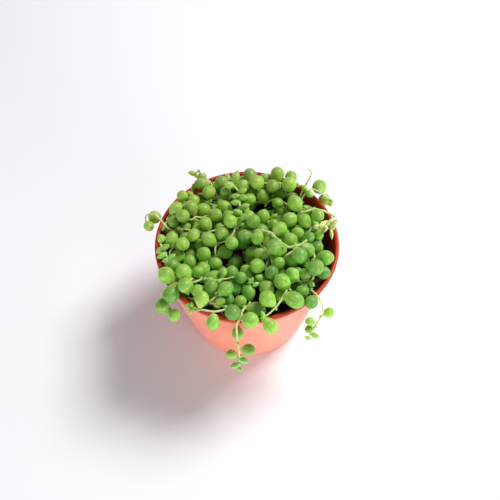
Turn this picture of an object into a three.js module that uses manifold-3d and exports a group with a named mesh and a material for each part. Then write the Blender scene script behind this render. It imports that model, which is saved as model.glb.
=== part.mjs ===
// A potted string of pearls: a low plastic nursery pot, its soil, and the trailing strands, each one
// a thin stem with its round leaves. Millimetres, +Z up, origin under the centre of the pot's base.
import * as THREE from "three";
import { mergeVertices } from "three/addons/utils/BufferGeometryUtils.js";
import Module from "manifold-3d";

// ---------------------------------------------------------------- driving dimensions
const RIM_RADIUS = 52.5; // over the outside of the lip
const POT_HEIGHT = 71;
const BASE_RADIUS = 38;
const WALL = 1.2;
const LIP_RADIUS = 1.2; // the lip is a round bead on top of the wall
const FLOOR = 1.6;
const CHAMFER = 0.9; // round the foot
const CORNER = 1.5; // inside, where the wall meets the floor
const POT_SIDES = 44;
const DRAIN_HOLES = 6;
const DRAIN_RADIUS = 3.5;
const DRAIN_RING = 25; // radius of the ring that the drain holes lie on

const SOIL_DEPTH = 14; // from the rim down to the soil
const SOIL_SWELL = 0.7; // how far the soil's surface rises and dips
const SOIL_GAP = 0.3; // between the soil and the pot
const ROOT_DEPTH = 4;
const SOCKET_GAP = 0.8; // round a stem where it enters the soil

const STEM_RADIUS = 0.6;
const STEM_REACH = 1.3; // the clearance radius of a stem point, which also covers the stretch to the next
const STEM_STEP = 2; // between neighbouring stem points
const STEM_SIDES = 3;
const PETIOLE = 1.3; // from the stem's surface to the leaf
const PETIOLE_RADIUS = 0.42;
const LEAF_SIDES = 5;
const BUD_RADIUS = 2.3; // leaves smaller than this are buds, which sit on the stem
const BUD_STALK = -0.3;

const SEED = 321;
const GOLDEN_ANGLE = Math.PI * (3 - Math.sqrt(5));

const SOIL_TOP = POT_HEIGHT - SOIL_DEPTH;
const LIP_CENTRE = [RIM_RADIUS - LIP_RADIUS, POT_HEIGHT - LIP_RADIUS]; // radius and height
const FOOT_CENTRE = [BASE_RADIUS - WALL / 2, 0]; // the wall's middle line at the base

// ---------------------------------------------------------------- strands that were led along a route
// way: the stem's route from its root, as x, y and the height over the rim. leaves: how far along the
// stem each one sits, the turn round the stem from its upper or outer side in degrees, and its radius.
const LED_STRANDS = [
  {
    name: "front_trailer",
    way: [[3, -32, -14], [1, -42, 1], [-4.5, -50.5, 3.4], [-5.5, -56.5, 0], [-4.5, -59.5, -11],
      [-4, -59.5, -28], [-4.6, -59, -44]],
    leaves: [[12, 60, 4], [21, -90, 4.2], [29, -80, 4.3], [43, 180, 3.5], [53, -85, 3.4], [58, 95, 2.8],
      [63, -70, 2], [67, 170, 1.6], [71, 60, 2], [76, -30, 1]],
  },
  {
    name: "right_trailer",
    way: [[26, -20, -14], [32.7, -30, -1], [37.5, -38.5, 3.2], [41, -41.5, -2], [41.5, -42, -12],
      [39, -42.5, -20], [37, -43, -30], [35, -43.5, -37]],
    leaves: [[10, 80, 4], [18, 75, 3.7], [26, 95, 3.7], [45, -90, 2.9], [50, 100, 2.5], [56, 80, 2.3],
      [62, -60, 2], [68, 90, 1]],
  },
  {
    name: "left_front_strand",
    way: [[-20, -22, -14], [-28.9, -29.3, 4.5], [-36, -31, 5], [-43.5, -33, 3.4], [-47.5, -35, -3],
      [-45, -39, -9], [-40, -41.5, -11]],
    leaves: [[11, 70, 4.1], [22, -70, 4.3], [32, -75, 4.6], [32, 75, 4.5], [46, -20, 4], [53, 60, 1.4],
      [58, 0, 3.6]],
  },
  {
    name: "front_left_strand",
    way: [[-6, -36, -14], [-8, -44, 1], [-12.4, -48.5, 3.8], [-20, -48.8, 4], [-27, -46, 3.8],
      [-31.5, -44.5, 2]],
    leaves: [[10, -70, 4], [18, -60, 4.2], [27, -105, 3.8], [36, 90, 3.9], [41, -60, 1.5], [45, 20, 1.1]],
  },
  {
    name: "front_right_strand",
    way: [[24, -24, -14], [22.5, -33, 3], [21, -37, 7], [18, -43.5, 6], [12.7, -49, 3.8], [9, -51.5, 3]],
    leaves: [[10, 80, 4], [19, 90, 4.4], [27, -80, 4.6], [36, 85, 4.3], [42, -100, 4], [46, 70, 1.4]],
  },
  {
    name: "left_strand",
    way: [[-33, 8, -14], [-40, 6.5, -3], [-45.8, 8.2, 3], [-49.5, 12.3, 4.4], [-53, 15.5, 5],
      [-57, 16.8, 4.2], [-59.5, 15.5, 0], [-58.5, 12, -4.5]],
    leaves: [[8, 75, 4], [15, -90, 3.4], [31, 175, 3.9], [43, -60, 3.2]],
  },
  {
    name: "back_left_strand",
    way: [[-16, 29, -14], [-18.5, 33, 3], [-21.5, 37.5, 5.5], [-26, 44.5, 4.4], [-29, 49, 3],
      [-31.5, 51.5, 0], [-32, 52, -3]],
    leaves: [[10, -80, 4], [12, 80, 3.9], [20, -70, 4], [20, 65, 4], [24, -85, 3.8], [36, 170, 3.2],
      [42, -40, 1.8]],
  },
  {
    name: "back_rim_strand",
    way: [[-4, 30, -14], [-2, 34, 0], [0, 37, 6], [5, 37.5, 7], [11, 36.5, 7], [17, 36, 6.5], [23, 37, 6],
      [30, 37.8, 4.6]],
    leaves: [[12, 70, 4], [20, 60, 3.8], [24, -70, 4.2], [28, 80, 4.4], [36, 80, 3.9], [40, -80, 4.1],
      [44, 75, 4.6], [50, -70, 3.7]],
  },
  {
    name: "back_right_strand",
    way: [[26, 22, -14], [31, 27, 1], [35, 31.5, 5.5], [38.5, 33, 6.3], [42, 31, 5.8], [46, 29.5, 4],
      [49.5, 28.5, 0.5], [50, 29.5, -3]],
    leaves: [[10, 80, 4], [16, -85, 4], [22, 75, 2.2], [24, -60, 2], [32, -100, 4.3], [40, -130, 3.8]],
  },
  {
    name: "right_strand",
    way: [[22, 12, -14], [27, 12, 2], [31, 12.5, 8], [36, 15, 8.5], [41, 17, 6.8], [46, 17, 4.6],
      [51.8, 14.2, 2.4]],
    leaves: [[10, -85, 4.1], [20, 80, 4.2], [24, -90, 4.3], [32, 100, 3.7]],
  },
  {
    name: "crossing_strand",
    way: [[-2, 6, -14], [1, 2, 4], [4, 0.5, 9], [8.4, -0.2, 10.5], [13.4, -3.9, 11], [18, -9, 11.5],
      [22.4, -13.5, 12], [25, -14.2, 12.2], [29, -11.8, 12.8], [32.8, -9.3, 13]],
    leaves: [[9, 80, 4], [20, -80, 4], [28, 120, 3.6], [36, -95, 4.1], [44, 100, 4.2], [50, 110, 4.4],
      [55, 130, 4.3]],
  },
  {
    name: "right_edge_strand",
    way: [[34, -4, -14], [36, -5, -3], [37, -7, 2], [37.5, -12, 3], [37, -18, 2.5], [36, -23, 3],
      [33.5, -28, 3], [31, -31.5, 1.5]],
    leaves: [[11, -60, 4], [23, -50, 4.3], [32, -70, 3.8], [36, 40, 4.5], [41, -60, 1.8]],
  },
  {
    name: "left_rim_shoot",
    way: [[-36, -4, -14], [-41, -2, -4], [-45.5, 1, 1.5], [-47.5, -3, 3.2], [-46.5, -8, 3.6],
      [-44.5, -13, 3.4], [-42, -17.5, 3]],
    leaves: [[12, 60, 2.6], [16, -70, 2.2], [20, 80, 2.2], [23, -60, 2], [26, 90, 2.1], [29, -70, 1.9],
      [32, 70, 2], [35, -80, 1.8], [38, 40, 1.4]],
  },
  {
    name: "crown_shoot",
    way: [[-10, 28, -14], [-11, 32, 0], [-9.5, 36, 7], [-6, 32, 9.5], [-4, 25, 9.8], [-4.5, 18, 9.6],
      [-2.5, 11, 9], [-3, 5, 7.5]],
    leaves: [[20, 70, 3.1], [24, -70, 2.9], [28, 60, 2.5], [31, -80, 2.2], [34, 80, 2.1], [37, -60, 2.2],
      [41, 70, 2], [44, -80, 2.2], [48, 80, 2], [51, -60, 2.1], [54, 60, 1.6]],
  },
  {
    name: "withered_shoot",
    way: [[34, 4, -14], [37, 4, -2], [41, 3.5, 4], [45, 3, 7.6], [48.5, 1.5, 8.4]],
    leaves: [[16, -110, 2.2], [20, 90, 2.4], [20, -80, 2.3], [24, 70, 2.4], [24, -80, 2.3], [28, 0, 2.2],
      [28, 120, 2.1]],
    dry: true,
  },
  {
    name: "dry_tendril",
    way: [[29, 32, -14], [32.5, 35, 0], [34.4, 36, 5], [36.1, 37.3, 8], [37.9, 38.8, 12], [37.6, 39.4, 15],
      [35.6, 39.2, 17]],
    leaves: [],
    dry: true,
  },
];

// The other strands grow by rule, in layers from the soil up.
const LAYERS = [
  { name: "low", strands: 6, crest: 4.2, dome: 0, leaves: 6, size: 3.8, lift: 25 },
  { name: "middle", strands: 8, crest: 9.5, dome: 2, leaves: 6, size: 3.95, lift: 10 },
  { name: "top", strands: 11, crest: 14, dome: 4, leaves: 7, size: 4.1, lift: 0 },
];
// Leaves sit at even stem points, where the solid stem has its rings of corners.
const FIRST_LEAF_POINT = 6; // counted from the buried end of the stem
const LEAF_SPACING = 4; // stem points between grown leaves
const BUD_SHARES = [0.54, 0.4, 0.3]; // radius of each bud, as a share of a grown leaf
const BUD_SPACING = [4, 2, 2];
const LIFT_RANGE = 35; // how much more than its layer's lift a leaf may point up, in degrees
const SKEW_RANGE = 0.5; // how far from square to the stem a leaf may stand, in radians
const TURNS = [-60, -40, -20, 0, 20, 40, 60]; // what a growing tip may turn before its next leaf
const STEM_WORTH = 0.5; // what room for the stem counts against room for the leaf
const TURN_COST = 0.3; // and what a turn of one radian costs
const ROOM_CAP = 2; // room beyond this counts no more
const CLIMB = { down: -0.8, up: 1.7, haste: 0.5 }; // of a growing stem, per step
const CROWN = [-3.6, 1.2]; // the middle of the strands that grow by rule: they lean to one side
const SPREAD = 45; // their stems grow within this radius of it
const CROWN_REACH = 47.5; // and none of their leaves reaches further from it
const INSIDE = 49.5; // nor past this radius of the pot, so all of them clear the lip

const ROOT_MARGIN = 6; // from the edge of the spread to the outermost root
const ROOT_SPACING = 4.5; // between two roots
const ROOT_TURN = 0.2; // by which a root that is too close moves round the crown, in radians

const SETTLE_ROUNDS = 560;
const REFRESH = 8; // rounds between two searches for contacts
const CONTACT_MARGIN = 2; // beads this much apart may still meet before the next search
const BENDS = [[2, 1.93], [4, 3.5]]; // how many points apart, and at least how many steps, on any stem
const NEIGHBOURHOOD = 14; // beads further than this from a leaf can't touch it
const SWELLING = 0.5; // the share of the rounds over which the strands grow to their full thickness
const EAGERNESS = 1.3; // how much of its mean correction a bead takes in a round
const LOOSE = 0.02; // how firmly a strand that grew by rule keeps its place
const FIRM = 0.2; // the same for a strand that was led along a route
const LED_GIVE = 0.4; // how readily such a strand yields to others
const LEAF_REACH = 0.25; // clearance kept round a leaf
const WALL_REACH = 0.1; // the same along the pot's wall, for its flat sides

// ---------------------------------------------------------------- vectors and chance
const plus = (a, b, share = 1) => [a[0] + share * b[0], a[1] + share * b[1], a[2] + share * b[2]];
const dot = (a, b) => a[0] * b[0] + a[1] * b[1] + a[2] * b[2];
const cross = (a, b) => [a[1] * b[2] - a[2] * b[1], a[2] * b[0] - a[0] * b[2], a[0] * b[1] - a[1] * b[0]];
const long = (a) => Math.sqrt(dot(a, a));
const unit = (a) => [a[0] / long(a), a[1] / long(a), a[2] / long(a)];
const apart = (a, b) => long(plus(a, b, -1));
const radians = (degrees) => (degrees * Math.PI) / 180;
const rounded = (v) => Math.floor(v * 1e6 + 0.5) / 1e6; // keeps every machine's plant the same
const roundedPoint = (p) => p.map(rounded);

let chance = SEED;
/** The next number from 0 to 1. The same seed always grows the same plant. */
function random() {
  chance = (chance * 1664525 + 1013904223) % 4294967296;
  return chance / 4294967296;
}

// ---------------------------------------------------------------- growing the strands
/** The route with its corners cut twice, so that it bends as a stem does. */
function smoothed(way) {
  let points = way;
  for (let pass = 0; pass < 2; pass += 1) {
    const cut = [points[0]];
    for (let i = 0; i < points.length - 1; i += 1) {
      const leg = plus(points[i + 1], points[i], -1);
      cut.push(plus(points[i], leg, 0.25), plus(points[i], leg, 0.75));
    }
    points = [...cut, points[points.length - 1]];
  }
  return points;
}

/** Points at every STEM_STEP along a route, the first one included. */
function paced(way) {
  const made = [way[0]];
  let left = STEM_STEP;
  for (let i = 0; i < way.length - 1; i += 1) {
    const leg = plus(way[i + 1], way[i], -1);
    const length = long(leg);
    let along = left;
    while (along <= length) {
      made.push(plus(way[i], leg, along / length));
      along += STEM_STEP;
    }
    left = along - length;
  }
  return made;
}

/** The buried stem points under a root at x, y, from the deepest up to the soil's surface. */
function buried(x, y) {
  return [-ROOT_DEPTH, -ROOT_DEPTH / 2, 0].map((depth) => [x, y, SOIL_TOP + depth]);
}

/** How far a leaf's centre stands off the middle of the stem. */
function standOff(radius) {
  return radius + STEM_RADIUS + (radius < BUD_RADIUS ? BUD_STALK : PETIOLE);
}

/** The direction across a stem, turned from its upper or outer side. */
function across(tangent, at, turn) {
  const out = unit([at[0], at[1], 0]);
  const raised = [out[0] / 2, out[1] / 2, 1];
  const up = unit(plus(raised, tangent, -dot(raised, tangent)));
  const side = cross(tangent, up);
  const angle = radians(turn);
  return plus([0, 0, 0].map((_, k) => up[k] * Math.cos(angle)), side, Math.sin(angle));
}

/** A strand that follows a route chosen by hand. */
function ledStrand({ name, way, leaves, dry }) {
  const route = way.map(([x, y, z]) => [x, y, z + POT_HEIGHT]);
  const points = [...buried(route[0][0], route[0][1]).slice(0, 2), ...paced(smoothed(route))];
  const last = points.length - 1;
  const grown = leaves.map(([along, turn, radius]) => {
    const point = Math.min(last - (last % 2), 2 + 2 * Math.round(along / STEM_STEP / 2));
    const tangent = unit(plus(points[Math.min(last, point + 1)], points[point - 1], -1));
    const way = across(tangent, points[point], turn);
    return { point, radius, centre: plus(points[point], way, standOff(radius)) };
  });
  return { name, points: points.map(roundedPoint), leaves: grown, hold: FIRM, dry };
}

/** Where a strand that grows by rule carries its leaves, and how large they are. */
function leafPlan({ leaves, size }) {
  const plan = [];
  const own = size * (0.92 + 0.16 * random());
  let point = FIRST_LEAF_POINT;
  for (let i = 0; i < leaves; i += 1) {
    plan.push({ point, radius: own * (0.9 + 0.2 * random()) * (1 - 0.18 * (i / leaves) ** 2) });
    point += LEAF_SPACING;
  }
  BUD_SHARES.forEach((share, i) => {
    point += BUD_SPACING[i] - (i ? 0 : LEAF_SPACING);
    plan.push({ point, radius: own * share });
  });
  return plan;
}

/** How far a point is from the middle of the crown, measured level. */
function fromCrown([x, y]) {
  return Math.hypot(x - CROWN[0], y - CROWN[1]);
}

/** A point drawn in until it is within a distance of the middle of the crown. */
function withinCrown([x, y, z], limit) {
  const over = Math.max(1, fromCrown([x, y]) / limit);
  return [CROWN[0] + (x - CROWN[0]) / over, CROWN[1] + (y - CROWN[1]) / over, z];
}

/** The next few stem points of a growing tip that turns by turn on its way. */
function advanced(from, heading, turn, count, layer) {
  const made = [];
  let at = from;
  for (let i = 1; i <= count; i += 1) {
    const angle = heading + (turn * i) / count;
    const spread = fromCrown(at) / SPREAD;
    const aim = SOIL_TOP + layer.crest + layer.dome * (1 - spread * spread);
    const climb = Math.max(CLIMB.down, Math.min(CLIMB.up, (aim - at[2]) * CLIMB.haste));
    const level = Math.sqrt(STEM_STEP * STEM_STEP - climb * climb);
    const next = plus(at, [level * Math.cos(angle), level * Math.sin(angle), climb]);
    at = roundedPoint(withinCrown(next, SPREAD));
    made.push(at);
  }
  return made;
}

/** The least room between a ball and the leaves that are already there, up to ROOM_CAP + 1. */
function room(centre, radius, leaves) {
  const gaps = leaves.map((leaf) => apart(centre, leaf.centre) - radius - leaf.radius);
  return Math.min(ROOM_CAP + 1, ...gaps);
}

/** A strand that grows by rule: its tip turns to where there is most room. */
function grownStrand(name, [x, y], layer, placed) {
  const points = buried(x, y);
  const leaves = [];
  let heading = 2 * Math.PI * random();
  let hand = random() < 0.5 ? -1 : 1;
  for (const { point, radius } of leafPlan(layer)) {
    const lift = radians(layer.lift + LIFT_RANGE * random());
    const skew = SKEW_RANGE * (random() - 0.5);
    let best = null;
    for (const degrees of TURNS) {
      const turn = radians(degrees);
      const path = advanced(points[points.length - 1], heading, turn, point - points.length + 1, layer);
      const end = path[path.length - 1];
      const side = heading + turn + hand * (Math.PI / 2 + skew);
      const way = [Math.cos(side) * Math.cos(lift), Math.sin(side) * Math.cos(lift), Math.sin(lift)];
      const centre = roundedPoint(plus(end, way, standOff(radius)));
      const inside = INSIDE - Math.hypot(centre[0], centre[1]);
      const wall = Math.min(inside, CROWN_REACH - fromCrown(centre)) - radius;
      const leafRoom = Math.min(room(centre, radius, placed), wall, ROOM_CAP);
      const stemRoom = room(end, STEM_REACH, placed);
      const score = rounded(leafRoom + STEM_WORTH * stemRoom - TURN_COST * Math.abs(turn));
      if (!best || score > best.score) best = { score, turn, path, centre };
    }
    heading += best.turn;
    hand = -hand;
    points.push(...best.path);
    leaves.push({ point, radius, centre: best.centre });
  }
  return { name, points, leaves, hold: LOOSE };
}

/** A place for a root at a distance from the crown's middle, turned until it is clear of the others. */
function freeRoot(reach, angle, strands) {
  const root = roundedPoint([CROWN[0] + reach * Math.cos(angle), CROWN[1] + reach * Math.sin(angle), 0]);
  const gaps = strands.map(({ points }) => Math.hypot(points[0][0] - root[0], points[0][1] - root[1]));
  return Math.min(...gaps) < ROOT_SPACING ? freeRoot(reach, angle + ROOT_TURN, strands) : root;
}

/** Every strand of the plant, before they make room for each other. */
function planted() {
  const strands = LED_STRANDS.map(ledStrand);
  const placed = strands.flatMap((strand) => strand.leaves);
  for (const layer of LAYERS) {
    const start = 2 * Math.PI * random();
    for (let i = 0; i < layer.strands; i += 1) {
      const reach = (SPREAD - ROOT_MARGIN) * Math.sqrt((i + 0.5) / layer.strands);
      const root = freeRoot(reach, start + i * GOLDEN_ANGLE, strands);
      const strand = grownStrand(`${layer.name}_strand_${i + 1}`, root, layer, placed);
      strands.push(strand);
      placed.push(...strand.leaves);
    }
  }
  return strands;
}

// ---------------------------------------------------------------- settling, so that nothing touches
/** Stem points and leaves as beads, and the links [bead, bead, least, most] between them. */
function beaded(strands) {
  const beads = [];
  const links = [];
  strands.forEach(({ points, leaves, hold }, strand) => {
    const first = beads.length;
    const give = hold > LOOSE ? LED_GIVE : 1;
    points.forEach((at, point) => {
      const free = point < 3 ? 0 : give;
      beads.push({ at, home: at, reach: STEM_REACH, strand, point, hold, free });
      if (point > 0) links.push([first + point - 1, first + point, STEM_STEP, STEM_STEP]);
      for (const [back, steps] of BENDS) {
        if (point >= back) links.push([first + point - back, first + point, STEM_STEP * steps, Infinity]);
      }
    });
    leaves.forEach(({ point, radius, centre }) => {
      links.push([first + point, beads.length, standOff(radius), standOff(radius)]);
      const reach = radius + LEAF_REACH;
      beads.push({ at: centre, home: centre, reach, strand, point, hold, free: give, leaf: true });
    });
  });
  return { beads, links };
}

/** Contacts, in the form of links, between the beads that are near enough to meet. */
function contactsAmong(beads) {
  const found = [];
  beads.forEach((a, i) => {
    for (let j = i + 1; j < beads.length; j += 1) {
      const b = beads[j];
      const reach = a.reach + b.reach;
      const joined = a.strand === b.strand && Math.abs(a.point - b.point) < 3 && !(a.leaf && b.leaf);
      if (!joined && apart(a.at, b.at) < reach + CONTACT_MARGIN) found.push([i, j, reach, Infinity]);
    }
  });
  return found;
}

/** How far each bead is moved in one round by the links and contacts it takes part in. */
function shiftsFrom(beads, links, grown) {
  const shifts = beads.map(() => [0, 0, 0]);
  const counts = beads.map(() => 0);
  for (const [i, j, least, most] of links) {
    const [a, b] = [beads[i], beads[j]];
    const length = apart(b.at, a.at);
    const wanted = Math.min(most, Math.max(most < Infinity ? least : least * grown, length));
    if (wanted === length || a.free + b.free === 0) continue;
    const share = (length - wanted) / length / (a.free + b.free);
    const line = plus(b.at, a.at, -1);
    shifts[i] = plus(shifts[i], line, share * a.free);
    shifts[j] = plus(shifts[j], line, -share * b.free);
    counts[i] += 1;
    counts[j] += 1;
  }
  return shifts.map((shift, i) => [0, 1, 2].map((k) => (shift[k] * EAGERNESS) / Math.max(1, counts[i])));
}

/** A point in the plane of radius and height, pushed off a round obstacle. */
function pushedOff([out, z], [x, y], clearance) {
  const distance = Math.hypot(out - x, z - y);
  if (distance >= clearance) return [out, z];
  const grow = clearance / distance;
  return [x + (out - x) * grow, y + (z - y) * grow];
}

/** A bead's place once it is clear of the wall, the lip and the soil. */
function clearOfPot(at, { reach, hold }) {
  const [x, y, z] = hold > LOOSE ? at : withinCrown(at, CROWN_REACH - reach);
  const [footOut, footZ] = FOOT_CENTRE;
  const [run, rise] = [LIP_CENTRE[0] - footOut, LIP_CENTRE[1] - footZ];
  const out = Math.hypot(x, y);
  const along = ((out - footOut) * run + (z - footZ) * rise) / (run * run + rise * rise);
  const share = Math.max(0, Math.min(1, along));
  let place = [hold > LOOSE ? out : Math.min(out, INSIDE - reach), z];
  place = pushedOff(place, [footOut + share * run, footZ + share * rise], WALL / 2 + WALL_REACH + reach);
  place = pushedOff(place, LIP_CENTRE, LIP_RADIUS + WALL_REACH + reach);
  const inside = place[0] < footOut + share * run;
  if (inside) place[1] = Math.max(place[1], SOIL_TOP + SOIL_SWELL + reach);
  return roundedPoint([(x * place[0]) / out, (y * place[0]) / out, place[1]]);
}

/** The strands once they have made room for each other. */
function settled(strands) {
  const { beads, links } = beaded(strands);
  let contacts = [];
  for (let round = 0; round < SETTLE_ROUNDS; round += 1) {
    if (round % REFRESH === 0) contacts = contactsAmong(beads);
    const grown = Math.min(1, 0.3 + (0.7 * round) / (SETTLE_ROUNDS * SWELLING));
    const shifts = shiftsFrom(beads, [...links, ...contacts], grown);
    const homing = round < SETTLE_ROUNDS / 2 ? 1 : 0;
    beads.forEach((bead, i) => {
      if (!bead.free) return;
      const moved = plus(bead.at, shifts[i]);
      bead.at = clearOfPot(plus(moved, plus(bead.home, moved, -1), homing * bead.hold), bead);
    });
  }
  return regrouped(strands, beads);
}

/** The settled beads as strands again, each leaf no larger than the room it has. */
function regrouped(strands, beads) {
  return strands.map(({ name, leaves, dry }, number) => {
    const own = beads.filter((bead) => bead.strand === number);
    const stems = own.filter((bead) => !bead.leaf).map((bead) => bead.at);
    const balls = own.filter((bead) => bead.leaf);
    const kept = balls.map((ball, i) => {
      const near = (bead) => apart(bead.at, ball.at) < NEIGHBOURHOOD;
      const others = beads.filter((bead) => bead.strand !== number && near(bead));
      const spare = Math.min(...others.map((bead) => apart(bead.at, ball.at) - bead.reach));
      return { ...leaves[i], centre: ball.at, radius: Math.min(leaves[i].radius, spare) };
    });
    return { name, points: stems, leaves: kept, dry };
  });
}

// ---------------------------------------------------------------- solids
const wasm = await Module();
wasm.setup();

/** A solid from a closed three.js geometry. */
function solidOf(geometry) {
  const bare = geometry.clone();
  bare.deleteAttribute("normal");
  bare.deleteAttribute("uv");
  const merged = mergeVertices(bare, 1e-5);
  const vertProperties = merged.attributes.position.array;
  const triVerts = Uint32Array.from(merged.index.array);
  return new wasm.Manifold(new wasm.Mesh({ numProp: 3, vertProperties, triVerts }));
}

/** A named mesh with a solid's surface. */
function meshOf(name, solid, material) {
  const { vertProperties, triVerts } = solid.getMesh();
  const geometry = new THREE.BufferGeometry();
  geometry.setAttribute("position", new THREE.BufferAttribute(vertProperties, 3));
  geometry.setIndex(new THREE.BufferAttribute(triVerts, 1));
  geometry.computeVertexNormals();
  const mesh = new THREE.Mesh(geometry, new THREE.MeshStandardMaterial(material));
  mesh.name = name;
  return mesh;
}

/** A profile of radius and height turned round the Z axis. */
function turned(profile, sides) {
  const points = profile.map(([x, y]) => new THREE.Vector2(x, y));
  return new THREE.LatheGeometry(points, sides).rotateX(Math.PI / 2);
}

/** A geometry made along +Z from the origin, laid from a point along a direction. */
function laid(geometry, from, direction) {
  const upwards = new THREE.Vector3(0, 0, 1);
  const turn = new THREE.Quaternion().setFromUnitVectors(upwards, new THREE.Vector3(...direction));
  return geometry.applyQuaternion(turn).translate(...from);
}

// ---------------------------------------------------------------- pot and soil
/** The radius of the inside of the wall at a height. */
function innerRadius(z) {
  const slope = (LIP_CENTRE[0] - FOOT_CENTRE[0]) / LIP_CENTRE[1];
  return FOOT_CENTRE[0] + slope * z - WALL / 2;
}

/** The moulded pot: a tapering wall with a round lip, and a flat base with holes to drain it. */
function pot() {
  const lip = [-65, -15, 35, 85, 135, 185, 235].map((degrees) => [
    LIP_CENTRE[0] + LIP_RADIUS * Math.cos(radians(degrees)),
    LIP_CENTRE[1] + LIP_RADIUS * Math.sin(radians(degrees)),
  ]);
  const base = [[0, 0], [BASE_RADIUS - CHAMFER, 0], [innerRadius(CHAMFER) + WALL, CHAMFER]];
  const high = FLOOR + CORNER;
  const inside = [[innerRadius(high), high], [innerRadius(FLOOR) - CORNER, FLOOR], [0, FLOOR]];
  let solid = solidOf(turned([...base, ...lip, ...inside], POT_SIDES));
  for (let i = 0; i < DRAIN_HOLES; i += 1) {
    const angle = (2 * Math.PI * i) / DRAIN_HOLES;
    const hole = new THREE.CylinderGeometry(DRAIN_RADIUS, DRAIN_RADIUS, 3 * FLOOR, 12).rotateX(Math.PI / 2);
    hole.translate(DRAIN_RING * Math.cos(angle), DRAIN_RING * Math.sin(angle), FLOOR / 2);
    solid = solid.subtract(solidOf(hole));
  }
  return meshOf("pot", solid, { color: 0xdd7355, roughness: 0.42, metalness: 0 });
}

/** The soil, which fills the pot to a little under its rim, with a socket for each root. */
function soil(strands) {
  const rim = innerRadius(SOIL_TOP) - SOIL_GAP - 0.1;
  const bottom = FLOOR + SOIL_GAP;
  const low = bottom + CORNER;
  const side = innerRadius(low) - SOIL_GAP - 0.1;
  const foot = [[0, bottom], [side - 1.2 * CORNER, bottom], [side, low]];
  const top = [1, 0.7, 0.35, 0].map((share) => [rim * share, SOIL_TOP]);
  const geometry = turned([...foot, ...top], POT_SIDES / 2);
  const places = geometry.attributes.position;
  for (let i = 0; i < places.count; i += 1) {
    const [x, y, z] = [places.getX(i), places.getY(i), places.getZ(i)];
    const swell = SOIL_SWELL * Math.sin(0.16 * x + 1) * Math.cos(0.21 * y - 0.5);
    if (z > SOIL_TOP - 1) places.setZ(i, z + swell);
  }
  let solid = solidOf(geometry);
  const depth = ROOT_DEPTH + SOCKET_GAP + 3;
  for (const { points } of strands) {
    const width = (STEM_RADIUS + SOCKET_GAP) * 1.3; // to a corner of its square
    const socket = new THREE.CylinderGeometry(width, width, depth, 4).rotateX(Math.PI / 2);
    socket.translate(points[0][0], points[0][1], SOIL_TOP + 3 - depth / 2);
    solid = solid.subtract(solidOf(socket));
  }
  return meshOf("soil", solid, { color: 0x241a14, roughness: 0.95, metalness: 0 });
}

// ---------------------------------------------------------------- strands
/** The stem of a strand: a thin stalk with a ring of corners at every other one of its points. */
function stem(points) {
  const kept = points.filter((_, i) => i % 2 === 0 || i === points.length - 1);
  const path = new THREE.CatmullRomCurve3(kept.map((point) => new THREE.Vector3(...point)));
  path.getUtoTmapping = (u) => u; // so that the rings fall on the points themselves
  const corners = Array.from({ length: STEM_SIDES }, (_, k) => (2 * Math.PI * k) / STEM_SIDES);
  const width = STEM_RADIUS * 1.2;
  const section = new THREE.Shape(
    corners.map((angle) => new THREE.Vector2(width * Math.cos(angle), width * Math.sin(angle))),
  );
  const steps = kept.length - 1;
  return solidOf(new THREE.ExtrudeGeometry(section, { steps, extrudePath: path, bevelEnabled: false }));
}

/** A round leaf on its stalk, which tapers into the stem, or a bud that sits on the stem. */
function leaf(from, { centre, radius }) {
  const direction = unit(plus(centre, from, -1));
  const along = apart(centre, from);
  const onBall = ([x, y]) => [x * radius, along + y * radius];
  if (radius < BUD_RADIUS) {
    const bud = [[0, -0.3], ...[[1.1, 0], [0, 1.15]].map(onBall)];
    return solidOf(laid(turned(bud, 4), from, direction));
  }
  const stalk = [[0, -0.5], [PETIOLE_RADIUS, along - radius * 0.98]];
  const ball = [[0.93, -0.45], [0.93, 0.45], [0, 1.04]].map(onBall);
  return solidOf(laid(turned([...stalk, ...ball], LEAF_SIDES), from, direction));
}

/** One strand: its stem and its leaves, grown together. */
function strandMesh({ name, points, leaves, dry }) {
  let solid = stem(points);
  for (const grown of leaves) solid = solid.add(leaf(points[grown.point], grown));
  const color = dry ? 0xcfc493 : 0x74a548;
  return meshOf(name, solid, { color, roughness: dry ? 0.8 : 0.4, metalness: 0 });
}

const strands = settled(planted());
const plant = new THREE.Group();
plant.add(pot(), soil(strands), ...strands.map(strandMesh));

export default plant;
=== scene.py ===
"""A potted string of pearls: a small tapered nursery pot, its soil, and the strands that fill it.

The strands grow by rule from one seed, in millimetres, and then make room for each other. Each one
becomes a stem with its leaf stalks, and a set of round leaves. Everything made here is in metres.
"""

from __future__ import annotations

import logging
import math
from dataclasses import dataclass, field
from enum import Enum

import bmesh
import bpy
import numpy as np
from bmesh.types import BMesh, BMVert
from bpy.types import ID, Material, Mesh, Modifier, Node, NodeSocket, NodeTree, Object
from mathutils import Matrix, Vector, noise


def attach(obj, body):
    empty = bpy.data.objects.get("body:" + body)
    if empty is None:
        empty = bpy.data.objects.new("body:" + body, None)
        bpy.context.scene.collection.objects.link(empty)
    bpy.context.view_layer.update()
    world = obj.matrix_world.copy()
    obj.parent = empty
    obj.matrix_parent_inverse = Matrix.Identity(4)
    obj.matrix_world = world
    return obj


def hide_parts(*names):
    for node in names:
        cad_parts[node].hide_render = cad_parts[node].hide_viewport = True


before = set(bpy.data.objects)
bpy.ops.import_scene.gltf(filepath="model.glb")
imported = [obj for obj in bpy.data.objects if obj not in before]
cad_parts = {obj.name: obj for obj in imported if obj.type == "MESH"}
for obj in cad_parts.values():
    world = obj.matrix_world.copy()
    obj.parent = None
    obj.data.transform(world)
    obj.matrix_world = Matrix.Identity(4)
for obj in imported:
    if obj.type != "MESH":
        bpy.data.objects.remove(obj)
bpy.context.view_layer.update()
LOG = logging.getLogger("string_of_pearls")
MM = 0.001
SNAPS_PER_MM = 1e6
# Found by search: at most seeds the settled strands still overlap somewhere, and at this one none do.
SEED = 321


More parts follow.
